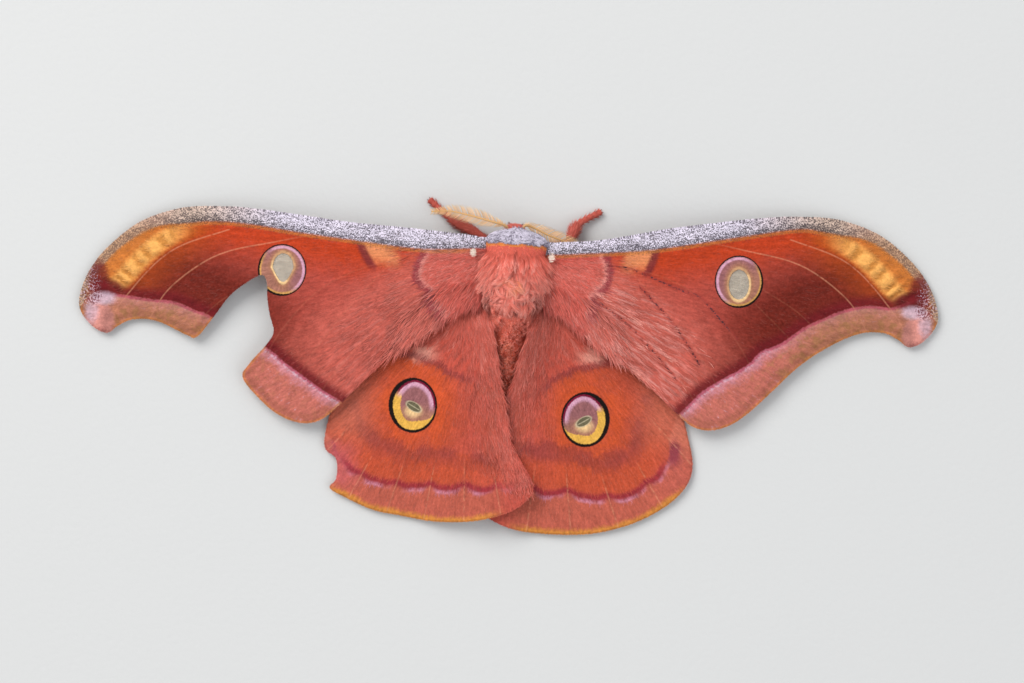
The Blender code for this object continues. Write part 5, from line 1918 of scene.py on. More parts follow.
    def skin_marks(self, points: Array) -> dict[str, Array]:
        """Measure where points of the skin lie: trunk, head or limb."""
        rest = turned(points, -BODY_YAW)
        values = self.section(rest[:, 1])
        off = np.hypot(rest[:, 0] / values[:, 0], (rest[:, 2] - values[:, 1]) / values[:, 2])
        limb = smoothstep(1.0, 1.12, off) * (rest[:, 2] < 7.0)
        head_off = (rest - np.array(self.head_middle)) / np.array(self.head_half)
        head = smoothstep(1.15, 1.02, np.linalg.norm(head_off, axis=1)) * (rest[:, 1] > 20.5)
        head *= smoothstep(5.4, 4.8, rest[:, 2])
        limb *= 1.0 - head
        return {"rest": rest, "part": stacked(head, limb, 0.0)}

    def hair_marks(self, rest: Array, region: Region, light: float,
                   pale: float = 0.0) -> dict[str, Array]:
        """Marks that tufts take from their roots.

        Args:
            rest: Roots in the body's own frame.
            region: Part of the body that they grow from.
            light: How pale their tips are.
            pale: Share of white.

        Returns:
            Vectors for the material, by name.
        """
        count = len(rest)
        part = (float(region is Region.HEAD), float(region is Region.LIMB), pale)
        chance = self.rng.random(count)
        return {"rest": rest, "part": np.tile(part, (count, 1)),
                "hair": stacked(0.0, chance, light * self.rng.random(count))}

    @staticmethod
    def chart(places: Array, angles: Array) -> Array:
        """Unwrap the trunk: angles across, places along."""
        return stacked(0.5 + angles / math.tau, 0.03 + (places + 8.5) / 34.0)

    def roots(self, hair: Hair) -> tuple[Array, Array]:
        """Draw roots over the trunk: places along it, then angles from its top."""
        return tuple(self.rng.uniform(*span, hair.count) for span in zip(*hair.box))

    def trunk_tufts(self, hair: Hair, places: Array, angles: Array, fan: float, light: float,
                    sizes: tuple[Array, Array, Array]) -> Tufts:
        """Lay tufts backward over the trunk.

        Args:
            hair: The kind of hair.
            places: Place of each root along the body.
            angles: Angle of each root from the top.
            fan: How far they turn outward by their tips, as a share of their angle.
            light: How pale their tips are.
            sizes: Lengths, widths and lifts, with a length under zero for one that lies forward.

        Returns:
            The tufts.
        """
        lengths, widths, lift = sizes
        t = np.linspace(0.0, 1.0, hair.rings)[None]
        stray = self.rng.normal(0.0, 0.07, (len(places), 1)) * t ** 2
        angle = angles[:, None] + (fan * angles)[:, None] * t + stray
        place = places[:, None] - lengths[:, None] * t
        if hair.gather > 0.0:
            cell = hair.cell
            round_angle = np.round(angles * 5.0 / cell + 0.4 * np.sin(places * 2.7)) * cell / 5.0
            round_place = np.round(places / cell + 0.4 * np.sin(angles * 9.0)) * cell
            angle = angle + (round_angle - angles)[:, None] * hair.gather * t ** 2
            place = place + (round_place - places)[:, None] * hair.gather * t ** 2
        rise = lift[:, None] * np.sin(0.5 * math.pi * np.minimum(1.0, t * 1.25)) - 0.12
        paths, outs = self.surface(angle, place, rise)
        marks = self.hair_marks(turned(paths[:, 0], -BODY_YAW), Region.TRUNK, light)
        return Tufts(paths, outs, widths, marks, self.chart(places, angles))

    def straight_tufts(self, roots: Array, outs: Array, lies: Array,
                       sizes: tuple[Array, Array, Array], marks: dict[str, Array],
                       chart: Array, rings: int = 3) -> Tufts:
        """Lay tufts straight along a small form.

        Args:
            roots: Their roots.
            outs: The way out at each root.
            lies: The way each one lies.
            sizes: Length, width and lift of each.
            marks: Marks of the roots.
            chart: Place of each root on the form's unwrap.
            rings: Points along each.

        Returns:
            The tufts.
        """
        lengths, widths, lift = sizes
        t = np.linspace(0.0, 1.0, rings)[None, :, None]
        rise = lift[:, None, None] * np.sin(0.5 * math.pi * np.minimum(1.0, t * 1.2)) - 0.08
        paths = roots[:, None] + lies[:, None] * lengths[:, None, None] * t + outs[:, None] * rise
        paths[..., 2] = np.maximum(paths[..., 2], 0.04)
        return Tufts(paths, np.repeat(outs[:, None], rings, axis=1), widths, marks, chart)

    def thorax_coat(self) -> bpy.types.Object:
        """Make the thorax's coat: a close layer, long locks and side tufts.

        Returns:
            The coat.
        """
        places, angles = self.roots(self.BACK)
        back = (1.0 - smoothstep(13.0, 19.0, places)) * smoothstep(8.0, 11.0, places)
        size = 1.0 - 0.55 * smoothstep(18.8, 20.2, places)
        lengths, widths, lift = self.BACK.draw(self.rng, len(places))
        sizes = ((lengths + 0.5 * back) * size, widths, (lift + 0.2 * back) * size)
        parts = [self.trunk_tufts(self.BACK, places, angles, 0.14, 0.3, sizes)]
        parts += [self.side_tufts(sign) for sign in (-1.0, 1.0)]
        parts.append(self.locks(*self.LOCKS))
        return make_coat("thorax_coat", parts, self.finish.coat())

    def locks(self, number: int, each: int) -> Tufts:
        """Grow loose locks over the thorax, each with a way and a height of its own.

        Args:
            number: How many locks.
            each: Hairs of each lock.

        Returns:
            The hairs.
        """
        rng = self.rng
        row = np.arange(number)
        place = 10.8 + 8.0 * ((row * 0.618 + 0.3 * rng.random(number)) % 1.0) ** 1.2
        angle = rng.normal(0.0, 0.5, number)
        pit = np.hypot((5.0 * np.sin(angle) - 0.75) / 0.8, (place - 11.5) / 1.0) < 1.0
        angle = np.where(pit, angle - 0.4, angle)
        back = 1.0 - smoothstep(13.5, 17.5, place)
        way = 0.5 * angle + rng.normal(0.0, 0.2 + 0.4 * back)
        length = rng.uniform(1.8, 2.7, number) + 0.6 * back
        lift = rng.uniform(0.2, 0.36, number) + back * rng.uniform(0.15, 0.85, number)
        tone = rng.random(number)

        count = number * each
        spread = rng.normal(0.0, 0.33, (count, 2))
        t = np.linspace(0.0, 1.0, 4)[None]
        close = 1.0 - 0.45 * t ** 1.3
        reach = repeated(length, each) * rng.uniform(0.75, 1.1, count)[:, None] * t
        ways = repeated(way, each) * (0.6 + 0.7 * t)
        places = repeated(place, each) + spread[:, :1] * close - reach * np.cos(ways)
        angles = repeated(angle, each) + (spread[:, 1:] * close + reach * np.sin(ways)) / 5.2
        dome = np.exp(-np.sum(spread ** 2, axis=1) / 0.4)[:, None]
        rise = repeated(lift, each) * np.sin(0.8 * math.pi * np.minimum(1.0, t + 0.05))
        paths, outs = self.surface(angles, places, rise * (0.4 + 0.6 * dome) + 0.12 * t)
        middle = paths.reshape(number, each, 4, 3).mean(axis=1)
        outs = unit(outs + 1.1 * (paths - np.repeat(middle, each, axis=0)))
        marks = self.hair_marks(turned(paths[:, 0], -BODY_YAW), Region.TRUNK, 0.9)
        marks["hair"][:, 1] = 0.6 * marks["hair"][:, 1] + 0.4 * np.repeat(tone, each)
        return Tufts(paths, outs, rng.uniform(0.08, 0.12, count), marks,
                     self.chart(places[:, 0], angles[:, 0]), even=0.6)

    def side_tufts(self, sign: float) -> Tufts:
        """Hang long locks from one shoulder, back and outward over the wings' roots.

        Args:
            sign: 1 on the right, -1 on the left.

        Returns:
            The tufts.
        """
        rng = self.rng
        count = self.SHOULDER.count
        places = 10.5 + 8.7 * rng.random(count) ** 0.75
        angles = sign * rng.uniform(0.62, 1.32, count)
        rear = 1.0 - smoothstep(10.0, 17.0, places)
        roots, outs = self.surface(angles, places, np.full(count, 0.05))
        locks = np.round(places / 1.5 + 0.6 * np.sin(angles * 7.0))
        wave = 0.22 * np.sin(locks * 2.4 + 1.3 * sign)
        lies = stacked(sign * (0.42 + wave - 0.2 * rear), -0.84, -0.26 + 0.12 * rng.random(count))
        lies = unit(unit(lies) + rng.normal(0.0, 0.09, lies.shape) * (1.0, 1.0, 0.4))
        marks = self.hair_marks(turned(roots, -BODY_YAW), Region.TRUNK, 0.55)
        lengths, widths, lift = self.SHOULDER.draw(rng, count)
        lengths = lengths * (1.0 - 0.5 * rear) * (0.85 + 0.25 * np.sin(locks * 3.1))
        return self.straight_tufts(roots, unit(outs + 1.2 * UP), turned(lies, BODY_YAW),
                                   (lengths, widths, lift), marks, self.chart(places, angles),
                                   self.SHOULDER.rings)

    def abdomen_coat(self) -> bpy.types.Object:
        """Make the abdomen's coat: short hair, with small round tufts along its back.

        Returns:
            The coat.
        """
        places, angles = self.roots(self.BELLY)
        sizes = self.BELLY.draw(self.rng, len(places))
        parts = [self.trunk_tufts(self.BELLY, places, angles, 0.1, 0.1, sizes),
                 self.round_tufts(*self.KNOBS)]
        return make_coat("abdomen_coat", parts, self.finish.coat())

    def round_tufts(self, knobs: int, each: int) -> Tufts:
        """Set small round tufts in rows over the abdomen's back.

        Args:
            knobs: How many round tufts.
            each: Hairs of each one.

        Returns:
            The hairs.
        """
        rng = self.rng
        row = np.arange(knobs)
        place = 10.9 - 16.5 * row / knobs + rng.normal(0.0, 0.2, knobs)
        angle = ((row * 0.618) % 1.0 - 0.5) * 1.7 + rng.normal(0.0, 0.08, knobs)
        size = rng.uniform(0.8, 1.2, knobs)
        count = knobs * each
        spread = rng.normal(0.0, 0.46, (count, 2)) * np.repeat(size, each)[:, None]
        width = np.repeat(self.section(place)[:, 0], each)
        t = np.linspace(0.0, 1.0, 3)[None]
        fan = 0.4 + 1.1 * t
        places = repeated(place, each) + spread[:, :1] * fan
        angles = repeated(angle, each) + spread[:, 1:] * fan / width[:, None]
        dome = 1.1 * np.exp(-np.sum(spread ** 2, axis=1) / 0.5) * np.repeat(size, each)
        rise = (0.1 + dome[:, None]) * t ** 0.8 - 0.05
        paths, outs = self.surface(angles, places, rise)
        away = paths[:, -1] - self.surface(np.repeat(angle, each), np.repeat(place, each),
                                           np.zeros(count))[0]
        outs = unit(outs + 0.8 * unit(away)[:, None])
        marks = self.hair_marks(turned(paths[:, 0], -BODY_YAW), Region.TRUNK, 0.6)
        return Tufts(paths, outs, rng.uniform(0.1, 0.15, count), marks,
                     self.chart(places[:, 0], angles[:, 0]), even=0.75)

    def head_coat(self) -> bpy.types.Object:
        """Make the coat of collar, head and palps, and the white tufts by the wings.

        Returns:
            The coat.
        """
        parts = []
        for hair, fan, way in ((self.COLLAR, 0.1, 1.0), (self.COLLAR_FRONT, 0.12, -1.0)):
            places, angles = self.roots(hair)
            sizes = hair.draw(self.rng, hair.count, size=way)
            parts.append(self.trunk_tufts(hair, places, angles, fan, 0.0, sizes))
        parts.append(self.face_tufts())
        parts += [self.palp_tufts(sign) for sign in (-1.0, 1.0)]
        parts += [self.white_tuft(spot) for spot in self.WHITE_PLACES]
        return make_coat("head_coat", parts, self.finish.coat())

    def face_tufts(self) -> Tufts:
        """Grow short hair over the head, lying forward and down, clear of the eyes.

        Returns:
            The tufts.
        """
        rng = self.rng
        half = np.array(self.head_half)
        ways = unit(rng.normal(0.0, 1.0, (self.FACE.count, 3)))
        ways = ways[ways[:, 1] > -0.35]
        eye = np.abs(ways[:, 0]) > 0.62
        ways = ways[~(eye & (ways[:, 2] < 0.45) & (ways[:, 2] > -0.7))]
        rest = np.array(self.head_middle) + ways * half
        outs = unit(ways / half)
        lies = np.array([0.0, 0.75, -0.55]) + rng.normal(0.0, 0.25, outs.shape)
        lies = unit(lies - outs * np.sum(lies * outs, axis=1, keepdims=True) + 0.35 * outs)
        marks = self.hair_marks(rest, Region.HEAD, 0.5)
        spread = stacked(np.arctan2(ways[:, 0], ways[:, 1]), np.arcsin(ways[:, 2]))
        chart = np.array([0.3, 0.9]) + 0.05 * spread
        return self.straight_tufts(*(turned(item, BODY_YAW) for item in (rest, outs, lies)),
                                   self.FACE.draw(rng, len(rest)), marks, chart)

    def palp(self, sign: float, step: float) -> Array:
        """Path of one palp: -1 is the left one, 1 the right one."""
        points = [(self.head_middle[0] + sign * x, y, z) for x, y, z in self.PALP]
        return turned(smooth_path(points, step), BODY_YAW)

    def palp_tufts(self, sign: float) -> Tufts:
        """Grow short hair along one palp."""
        path = self.palp(sign, 0.2)
        return self.limb_tufts(self.PALP_HAIR, path, np.full(len(path), 0.38), 0.7 + 0.1 * sign)

    def white_tuft(self, spot: Triple) -> Tufts:
        """Grow a white tuft where a forewing leaves the body.

        Args:
            spot: Middle of the tuft.

        Returns:
            The hairs.
        """
        rng = self.rng
        count = self.WHITE.count
        away = math.copysign(1.0, spot[0])
        roots = np.array(spot) + rng.normal(0.0, 0.16, (count, 3)) * (0.9, 1.6, 0.2)
        lies = unit(np.array([0.8 * away, 0.1, 0.0]) + rng.normal(0.0, 0.16, (count, 3)))
        marks = self.hair_marks(turned(roots, -BODY_YAW), Region.TRUNK, 0.0, pale=1.0)
        chart = np.array([0.5 + 0.2 * away, 0.97]) + rng.uniform(-0.01, 0.01, (count, 2))
        return self.straight_tufts(roots, np.tile(UP, (count, 1)), lies, self.WHITE.draw(rng, count),
                                   marks, chart, self.WHITE.rings)

    def limb_tufts(self, hair: Hair, path: Array, radii: Array, column: float) -> Tufts:
        """Cover a limb with short hair that lies along it.

        Args:
            hair: The kind of hair.
            path: Points along the limb.
            radii: Radius at each point.
            column: The limb's own strip on the unwrap.

        Returns:
            The tufts.
        """
        rng = self.rng
        ahead, aside, up = path_ways(path)
        run = np.concatenate([[0.0], np.cumsum(np.linalg.norm(np.diff(path, axis=0), axis=1))])
        share = rng.uniform(0.0, run[-1], hair.count)
        angle = rng.uniform(0.0, math.tau, hair.count)

        def at(values: Array) -> Array:
            """Read values at the roots' shares of the limb."""
            return stacked(*(np.interp(share, run, values[:, k]) for k in range(3)))

        outs = unit(at(aside) * np.cos(angle)[:, None] + at(up) * np.sin(angle)[:, None])
        radius = np.interp(share, run, radii)
        roots = at(path) + outs * (0.92 * radius)[:, None]
        slim = np.clip(radius / radii.max(), 0.45, 1.0)
        before_end = run[-1] - share
        stray = rng.normal(0.0, 0.14, (hair.count, 3))
        lies = unit(at(ahead) + 0.42 * slim[:, None] * outs + stray)
        marks = self.hair_marks(turned(roots, -BODY_YAW), Region.LIMB, 0.4)
        chart = stacked(column + 0.02 * angle, 0.05 + 0.9 * share / run[-1])
        length, width, lift = hair.draw(rng, hair.count, slim, slim ** 2)
        sizes = (np.minimum(length, np.maximum(0.18, before_end)), width * slim, lift)
        kept = (outs[:, 2] > -0.2) | (before_end > 0.9)
        return self.straight_tufts(roots[kept], outs[kept], lies[kept],
                                   tuple(size[kept] for size in sizes),
                                   {key: values[kept] for key, values in marks.items()}, chart[kept])

    def leg_coat(self) -> bpy.types.Object:
        """Make the coat of all six legs.

        Returns:
            The coat.
        """
        parts = [self.limb_tufts(self.LEG_HAIR, *self.leg_run(joints), 0.02 + 0.16 * i)
                 for i, joints in enumerate(self.leg_paths().values())]
        return make_coat("leg_coat", parts, self.finish.coat())

    def claws(self) -> bpy.types.Object:
        """Make the two small claws of each foot."""
        paths = []
        for joints in self.leg_paths().values():
            ahead = unit(joints[3] - joints[2]) * (1.0, 1.0, 0.0)
            aside = np.array([-ahead[1], ahead[0], 0.0])
            for sign in (-1.0, 1.0):
                root = joints[3] - ahead * 0.1 + aside * sign * 0.12
                bend = [(0.0, 0.0, 0.0), (0.16, 0.1, 0.1), (0.3, 0.18, 0.0), (0.36, 0.2, -0.26)]
                paths.append([root + ahead * a + aside * sign * b + (0.0, 0.0, c)
                              for a, b, c in bend])
        paths = np.array(paths)
        paths[..., 2] = np.maximum(paths[..., 2], 0.1)
        count = len(paths)
        outs = np.tile(UP, (count, 4, 1))
        marks = {"rest": paths[:, 0], "hair": self.rng.random((count, 3))}
        hooks = Tufts(paths, outs, np.full(count, 0.16), marks, np.zeros((count, 2)), flat=0.8)
        points, faces, point_marks, _, _ = hooks.mesh()
        thing = make_piece("claws", points, faces, point_marks, ClawFinish().material())
        return thing


@dataclass
class Eye:
    """One faceted eye, set into the side of the head."""

    side: Side
    spread: float = 2.35
    middle: Triple = (-0.4, 21.9, 3.8)
    radius: float = 1.27

    def build(self) -> bpy.types.Object:
        """Make the eye as a fine dome with a shallow rim."""
        sign = -1.0 if self.side is Side.LEFT else 1.0
        centre = np.array(self.middle) + np.array([sign * self.spread, 0.0, 0.0])
        bands = np.linspace(-1.0, 1.0, 40)[1:-1] * 0.5 * math.pi
        around = math.tau * np.arange(56) / 56
        rings = []
        for band in bands:
            rim = 1.0 - 0.04 * bell(np.array(band + 0.35), 0.12)
            ring = stacked(math.sin(band) * sign, math.cos(band) * np.cos(around),
                           math.cos(band) * np.sin(around) * sign)
            rings.append(turned(centre + ring * self.radius * rim, BODY_YAW))
        points, faces = loft(rings)
        thing = make_piece(f"eye_{self.side.value}_dome", points, faces,
                           {"rest": points - centre}, EyeFinish().material())
        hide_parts(f"eye_{self.side.value}")
        return thing


@dataclass
class Feeler:
    """One feathered feeler: a ringed shaft with fine rays in pairs, each with its hairs."""

    side: Side
    points: list[Triple]
    seed: int = 5
    radius: float = 0.24
    pairs: int = 38
    ray_length: float = 1.85
    ray_width: float = 0.21
    lean: float = math.radians(58.0)

    def build(self, finish: FeelerFinish) -> bpy.types.Object:
        """Make the feeler.

        Args:
            finish: Its colours.

        Returns:
            The feeler, which stands for its CAD node.
        """
        rng = np.random.default_rng(self.seed)
        path = smooth_path(self.points, 0.16)
        share = np.linspace(0.0, 1.0, len(path))
        radii = self.radius * (1.0 - 0.55 * share) * (1.0 + 0.08 * np.cos(math.tau * share * self.pairs))
        shaft_points, shaft_faces = tube(path, radii, 8)
        ahead, aside, _ = path_ways(path)
        rays = []
        for pair in range(self.pairs):
            t = 0.07 + 0.91 * pair / (self.pairs - 1)
            i = int(t * (len(path) - 1))
            full = smoothstep(0.02, 0.34, t) * (1.0 - 0.8 * smoothstep(0.5, 1.0, t))
            size = self.ray_length * (0.2 + 0.8 * float(full))
            for sign in (-1.0, 1.0):
                lie = aside[i] * sign * math.sin(self.lean) + ahead[i] * math.cos(self.lean)
                reach = size * rng.uniform(0.96, 1.04)
                curve = np.array([0.0, 0.33, 0.66, 1.0])[:, None]
                ray = path[i] + (lie + rng.normal(0.0, 0.015, 3)) * reach * curve
                rays.append(ray + (ahead[i] * 0.2 - UP * 0.12) * reach * curve ** 2)
        rays = np.array(rays)
        fan = self.hairs(rays, self.ray_width, 0.7, rng)
        ray_points, ray_faces, ray_marks, _, _ = fan.mesh()
        hair_points, hair_faces, hair_marks, _, _ = self.cilia(rays, rng).mesh()
        zeros = np.zeros((len(shaft_points), 3))
        points = np.concatenate([shaft_points, ray_points, hair_points])
        faces = np.concatenate([shaft_faces, ray_faces + len(shaft_points),
                                hair_faces + len(shaft_points) + len(ray_points)])
        marks = {"rest": np.concatenate([shaft_points, ray_marks["rest"], hair_marks["rest"]]),
                 "hair": np.concatenate([zeros, ray_marks["hair"], hair_marks["hair"]])}
        thing = make_piece(f"feeler_{self.side.value}", points, faces, marks, finish.material())
        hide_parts(f"antenna_{self.side.value}")
        return thing

    @staticmethod
    def hairs(paths: Array, width: float, flat: float, rng: np.random.Generator) -> Tufts:
        """Give paths the body and the marks of rays or hairs.

        Args:
            paths: Path of each one.
            width: Width of all.
            flat: Depth as a share of the width.
            rng: The feeler's random draws.

        Returns:
            The rays or hairs.
        """
        count, rings, _ = paths.shape
        chance = rng.random(count)
        marks = {"rest": paths[:, 0], "hair": stacked(chance, chance, 1.0)}
        return Tufts(paths, np.tile(UP, (count, rings, 1)), np.full(count, width), marks,
                     np.zeros((count, 2)), flat=flat)

    def cilia(self, rays: Array, rng: np.random.Generator) -> Tufts:
        """Line the rays with very fine hairs.

        Args:
            rays: Paths of the rays.
            rng: The feeler's random draws.

        Returns:
            The hairs.
        """
        shares = np.linspace(0.15, 0.95, 9)
        spots = np.concatenate([rays[:, 0] + (rays[:, 3] - rays[:, 0]) * t for t in shares])
        ahead = unit(np.concatenate([rays[:, 3] - rays[:, 0]] * len(shares)))
        aside = unit(np.cross(ahead, UP))
        sign = rng.choice([-1.0, 1.0], len(spots))[:, None]
        lies = unit(0.8 * ahead + sign * aside + rng.normal(0.0, 0.1, spots.shape))
        t = np.linspace(0.0, 1.0, 3)[None, :, None]
        return self.hairs(spots[:, None] + lies[:, None] * 0.15 * t, 0.035, 0.8, rng)


@dataclass
class Studio:
    """Floor, lights and camera."""

    camera_over: Span = (0.71, 4.02)
    camera_turn: float = math.radians(1.05)
    lens: float = 100.0
    sensor: float = 36.0
    picture_width: float = 178.4
    focus_height: float = 2.0

    def floor(self) -> bpy.types.Object:
        """Make the floor as a wide disc whose rim curves up."""
        around = math.tau * np.arange(96) / 96
        rings = []
        for radius, rise in ((0.02, 0.0), (0.3, 0.0), (1.0, 0.0), (2.5, 0.0), (4.0, 0.15), (5.0, 1.0)):
            rings.append(stacked(radius * np.cos(around), radius * np.sin(around), rise))
        points, faces = loft(rings)
        faces = faces[[k for k in range(len(faces)) if len(points) - 1 not in faces[k]]]
        mesh = bpy.data.meshes.new("floor")
        mesh.from_pydata(points, [], faces[:, ::-1])
        mesh.materials.append(FloorFinish().material())
        thing = add_thing("floor", mesh)
        return thing

    def light(self, name: str, place: Triple, size: float,
              power: float, colour: Colour) -> bpy.types.Object:
        """Add a square soft light that looks at the moth.

        Args:
            name: Name of the light.
            place: Where it hangs.
            size: Length of its side.
            power: Power in watts.
            colour: Colour of its light.

        Returns:
            The light.
        """
        lamp = bpy.data.lights.new(name, "AREA")
        lamp.size = size
        lamp.energy = power
        lamp.color = colour
        thing = add_thing(name, lamp)
        thing.location = place
        thing.rotation_euler = (-Vector(place)).to_track_quat("-Z", "Y").to_euler()
        return thing

    def sky(self, strength: float) -> None:
        """Fill the surroundings with even pale light."""
        world = bpy.data.worlds.new("pale_room")
        world.use_nodes = True
        background = world.node_tree.nodes["Background"]
        background.inputs["Color"].default_value = (0.96, 0.98, 1.0, 1.0)
        background.inputs["Strength"].default_value = strength
        bpy.context.scene.world = world

    def camera(self) -> bpy.types.Object:
        """Hang the camera straight over the moth, turned as the picture is."""
        lens = bpy.data.cameras.new("camera")
        lens.lens = self.lens
        lens.sensor_width = self.sensor
        lens.clip_start = 0.01
        thing = add_thing("camera", lens)
        away = self.picture_width * self.lens / self.sensor
        spot = np.array([*self.camera_over, self.focus_height + away])
        thing.location = tuple(to_world(spot))
        thing.rotation_euler = (0.0, 0.0, self.camera_turn)
        bpy.context.scene.camera = thing
        return thing

    def build(self) -> None:
        """Set up floor, lights, surroundings and camera."""
        self.floor()
        self.sky(0.62)
        self.light("window_light", (-0.55, 0.6, 0.75), 0.7, 9.0, (1.0, 0.985, 0.96))
        self.light("fill_light", (0.7, -0.4, 0.8), 0.9, 2.5, (0.95, 0.975, 1.0))
        self.camera()
        bpy.context.scene.view_settings.view_transform = "Standard"


# Plans of the wings

COSTA = [(3.0, 20.9), (7.0, 21.7), (15.5, 22.5), (29.0, 24.3), (43.5, 26.2), (50.5, 26.6),
         (57.5, 26.2), (64.5, 23.7), (70.0, 19.3), (73.4, 14.8), (74.9, 10.2)]
TIP = [(74.4, 7.6), (72.4, 5.3), (70.0, 4.3), (68.0, 5.6), (65.5, 6.7), (61.3, 6.5)]
TERMEN = [(56.1, 4.2), (51.0, 0.8), (46.6, -3.4), (42.4, -7.4)]
TORNUS = [(39.0, -9.8), (35.6, -10.8), (32.4, -10.2), (29.2, -7.6), (25.2, -3.7),
          (19.0, 1.8), (12.5, 6.6), (7.5, 10.6), (3.0, 12.4)]
TEAR = [(54.2, 3.9), (51.3, 7.4), (48.6, 11.0), (45.5, 13.5), (43.0, 14.8), (42.0, 13.6),
        (41.9, 11.0), (41.4, 7.9), (40.7, 4.9), (42.1, 2.5), (44.9, -0.7), (46.0, -3.2)]
HIND_LEADING = [(3.0, 11.5), (9.0, 10.0), (18.0, 5.5), (25.5, -0.5), (30.0, -7.0)]
HIND_OUTER = {
    Side.RIGHT: [(31.8, -12.5), (32.6, -17.0), (31.6, -20.6), (28.4, -24.0), (23.4, -26.8),
                 (17.0, -28.6), (10.3, -29.0), (4.0, -28.7), (-0.5, -27.3), (-4.2, -25.2)],
    Side.LEFT: [(31.7, -14.5), (29.6, -17.0), (29.5, -20.4), (30.6, -22.1), (27.5, -23.9),
                (22.9, -26.0), (17.7, -27.2), (11.8, -28.1), (5.8, -27.9), (0.8, -26.7),
                (-3.4, -24.8)],
}
HIND_INNER = [(-5.9, -22.0), (-5.6, -19.6), (-3.2, -16.0), (-1.5, -13.0), (-0.4, -9.0),
              (0.2, -5.5), (1.2, -2.4), (2.2, 2.5), (3.4, 7.0)]
FORE_VEINS = [
    [(48.8, 22.6), (56.7, 19.9), (61.5, 16.7), (66.6, 10.9), (69.1, 7.3)],
    [(33.1, 22.1), (41.0, 20.5), (48.9, 18.8), (54.2, 16.2), (59.5, 11.8), (62.7, 6.6)],
    [(44.1, 13.8), (50.8, 9.6), (56.1, 4.1)],
    [(42.9, 11.2), (49.1, 5.2), (51.8, 1.4)],
    [(7.4, 18.0), (20.2, 17.5), (31.6, 13.2), (39.5, 5.0), (45.0, -5.2)],
    [(20.2, 17.5), (28.5, 8.3), (34.4, 0.5), (39.8, -9.5)],
    [(7.5, 14.0), (16.8, 11.0), (24.8, 3.9), (31.9, -4.7), (33.7, -10.8)],
]
FORK_LINE = [(40.0, 23.4), (48.8, 22.6), (56.7, 19.9), (61.5, 16.7), (66.6, 10.9), (69.1, 7.3)]
FORE_BAND = {
    Side.RIGHT: [(0.0, 18.8), (7.2, 19.0), (15.8, 19.5), (22.7, 20.0), (29.7, 21.0), (36.6, 22.2),
                 (43.6, 23.4), (50.5, 24.4), (54.0, 24.1), (58.1, 23.3), (62.8, 21.7), (67.4, 18.6),
                 (70.8, 15.0), (73.0, 11.5)],
    Side.LEFT: [(0.0, 19.9), (5.5, 19.9), (15.6, 19.7), (28.7, 21.2), (36.6, 22.2), (43.6, 23.3),
                (50.5, 23.9), (55.8, 23.6), (61.0, 22.4), (66.1, 19.6), (69.9, 16.0), (72.8, 11.5)],
}
FORE_OUTER_LINE = {
    Side.RIGHT: [(29.0, -8.6), (30.7, -7.0), (33.6, -4.0), (37.1, -1.7), (41.4, 0.8), (43.9, 3.3),
                 (47.4, 4.8), (50.8, 7.3), (54.3, 9.1), (58.6, 10.9), (62.9, 11.7), (66.4, 11.4),
                 (69.0, 12.2), (74.0, 14.0)],
    Side.LEFT: [(27.5, -7.6), (29.1, -6.4), (31.7, -4.9), (35.2, -2.5), (38.8, 0.1), (42.1, 2.6),
                (51.6, 7.7), (54.6, 8.8), (58.1, 10.2), (62.5, 10.6), (66.9, 11.2), (69.8, 11.7),
                (74.0, 14.0)],
}
FORE_BASE_LINE = {
    Side.RIGHT: [(18.0, 22.0), (17.9, 18.2), (18.3, 15.9), (17.3, 13.3), (15.6, 11.5), (14.6, 9.4),
                 (13.0, 5.5)],
    Side.LEFT: [(15.0, 22.0), (15.9, 18.8), (16.9, 16.2), (16.5, 13.9), (14.1, 11.5), (11.9, 9.3),
                (10.0, 6.5)],
}
FORE_BAR_LINE = {
    Side.RIGHT: [(25.6, 22.5), (25.3, 20.4), (24.8, 18.3), (23.8, 16.0)],
    Side.LEFT: [(26.2, 22.5), (25.7, 20.2), (24.6, 18.0), (23.6, 16.4)],
}
CREASES = [
    [(16.0, 18.1), (18.2, 17.9), (21.0, 17.2), (25.7, 15.2), (30.4, 13.2), (33.2, 12.3), (36.0, 9.3),
     (39.8, 5.2)],
    [(14.0, 12.6), (16.7, 10.6), (21.2, 7.2), (25.0, 3.1), (29.2, -1.9)],
    [(22.5, 14.2), (27.7, 8.7), (30.5, 5.0), (33.4, 0.5)],
]
HIND_OUTER_LINE = {
    Side.RIGHT: [(-6.0, -21.2), (4.7, -21.6), (6.9, -22.1), (10.4, -21.9), (14.8, -22.6),
                 (18.3, -22.8), (21.7, -22.0), (24.3, -20.4), (26.1, -19.3), (28.0, -15.0),
                 (29.0, -9.0), (33.0, -5.0)],
    Side.LEFT: [(-6.5, -18.0), (-1.7, -19.7), (0.1, -20.8), (3.5, -21.6), (7.0, -21.1),
                (10.5, -21.4), (14.9, -21.1), (18.3, -21.2), (21.8, -20.4), (25.3, -19.5),
                (27.6, -17.5), (30.5, -13.0), (33.0, -8.0)],
}
HIND_BASE_LINE = {
    Side.RIGHT: [(1.0, -6.0), (6.6, -3.5), (9.2, -2.0), (12.6, -0.6), (16.1, 0.0), (18.7, 0.8),
                 (26.0, 2.0)],
    Side.LEFT: [(0.0, -3.5), (4.7, -2.4), (9.1, -2.2), (11.8, -0.5), (14.4, 0.5), (18.8, 1.8),
                (26.0, 3.0)],
}
HIND_POST_LINE = {
    Side.RIGHT: [(4.0, -15.0), (9.4, -15.6), (12.9, -16.8), (18.2, -17.2), (22.5, -15.4),
                 (24.2, -12.7), (25.0, -9.2), (25.8, -5.7)],
    Side.LEFT: [(2.0, -18.0), (6.2, -17.6), (11.5, -16.9), (16.7, -16.6), (21.1, -15.6),
                (25.1, -13.1), (26.9, -11.0), (28.2, -8.4)],
}
HIND_VEIN_ROOT = (4.0, 9.0)
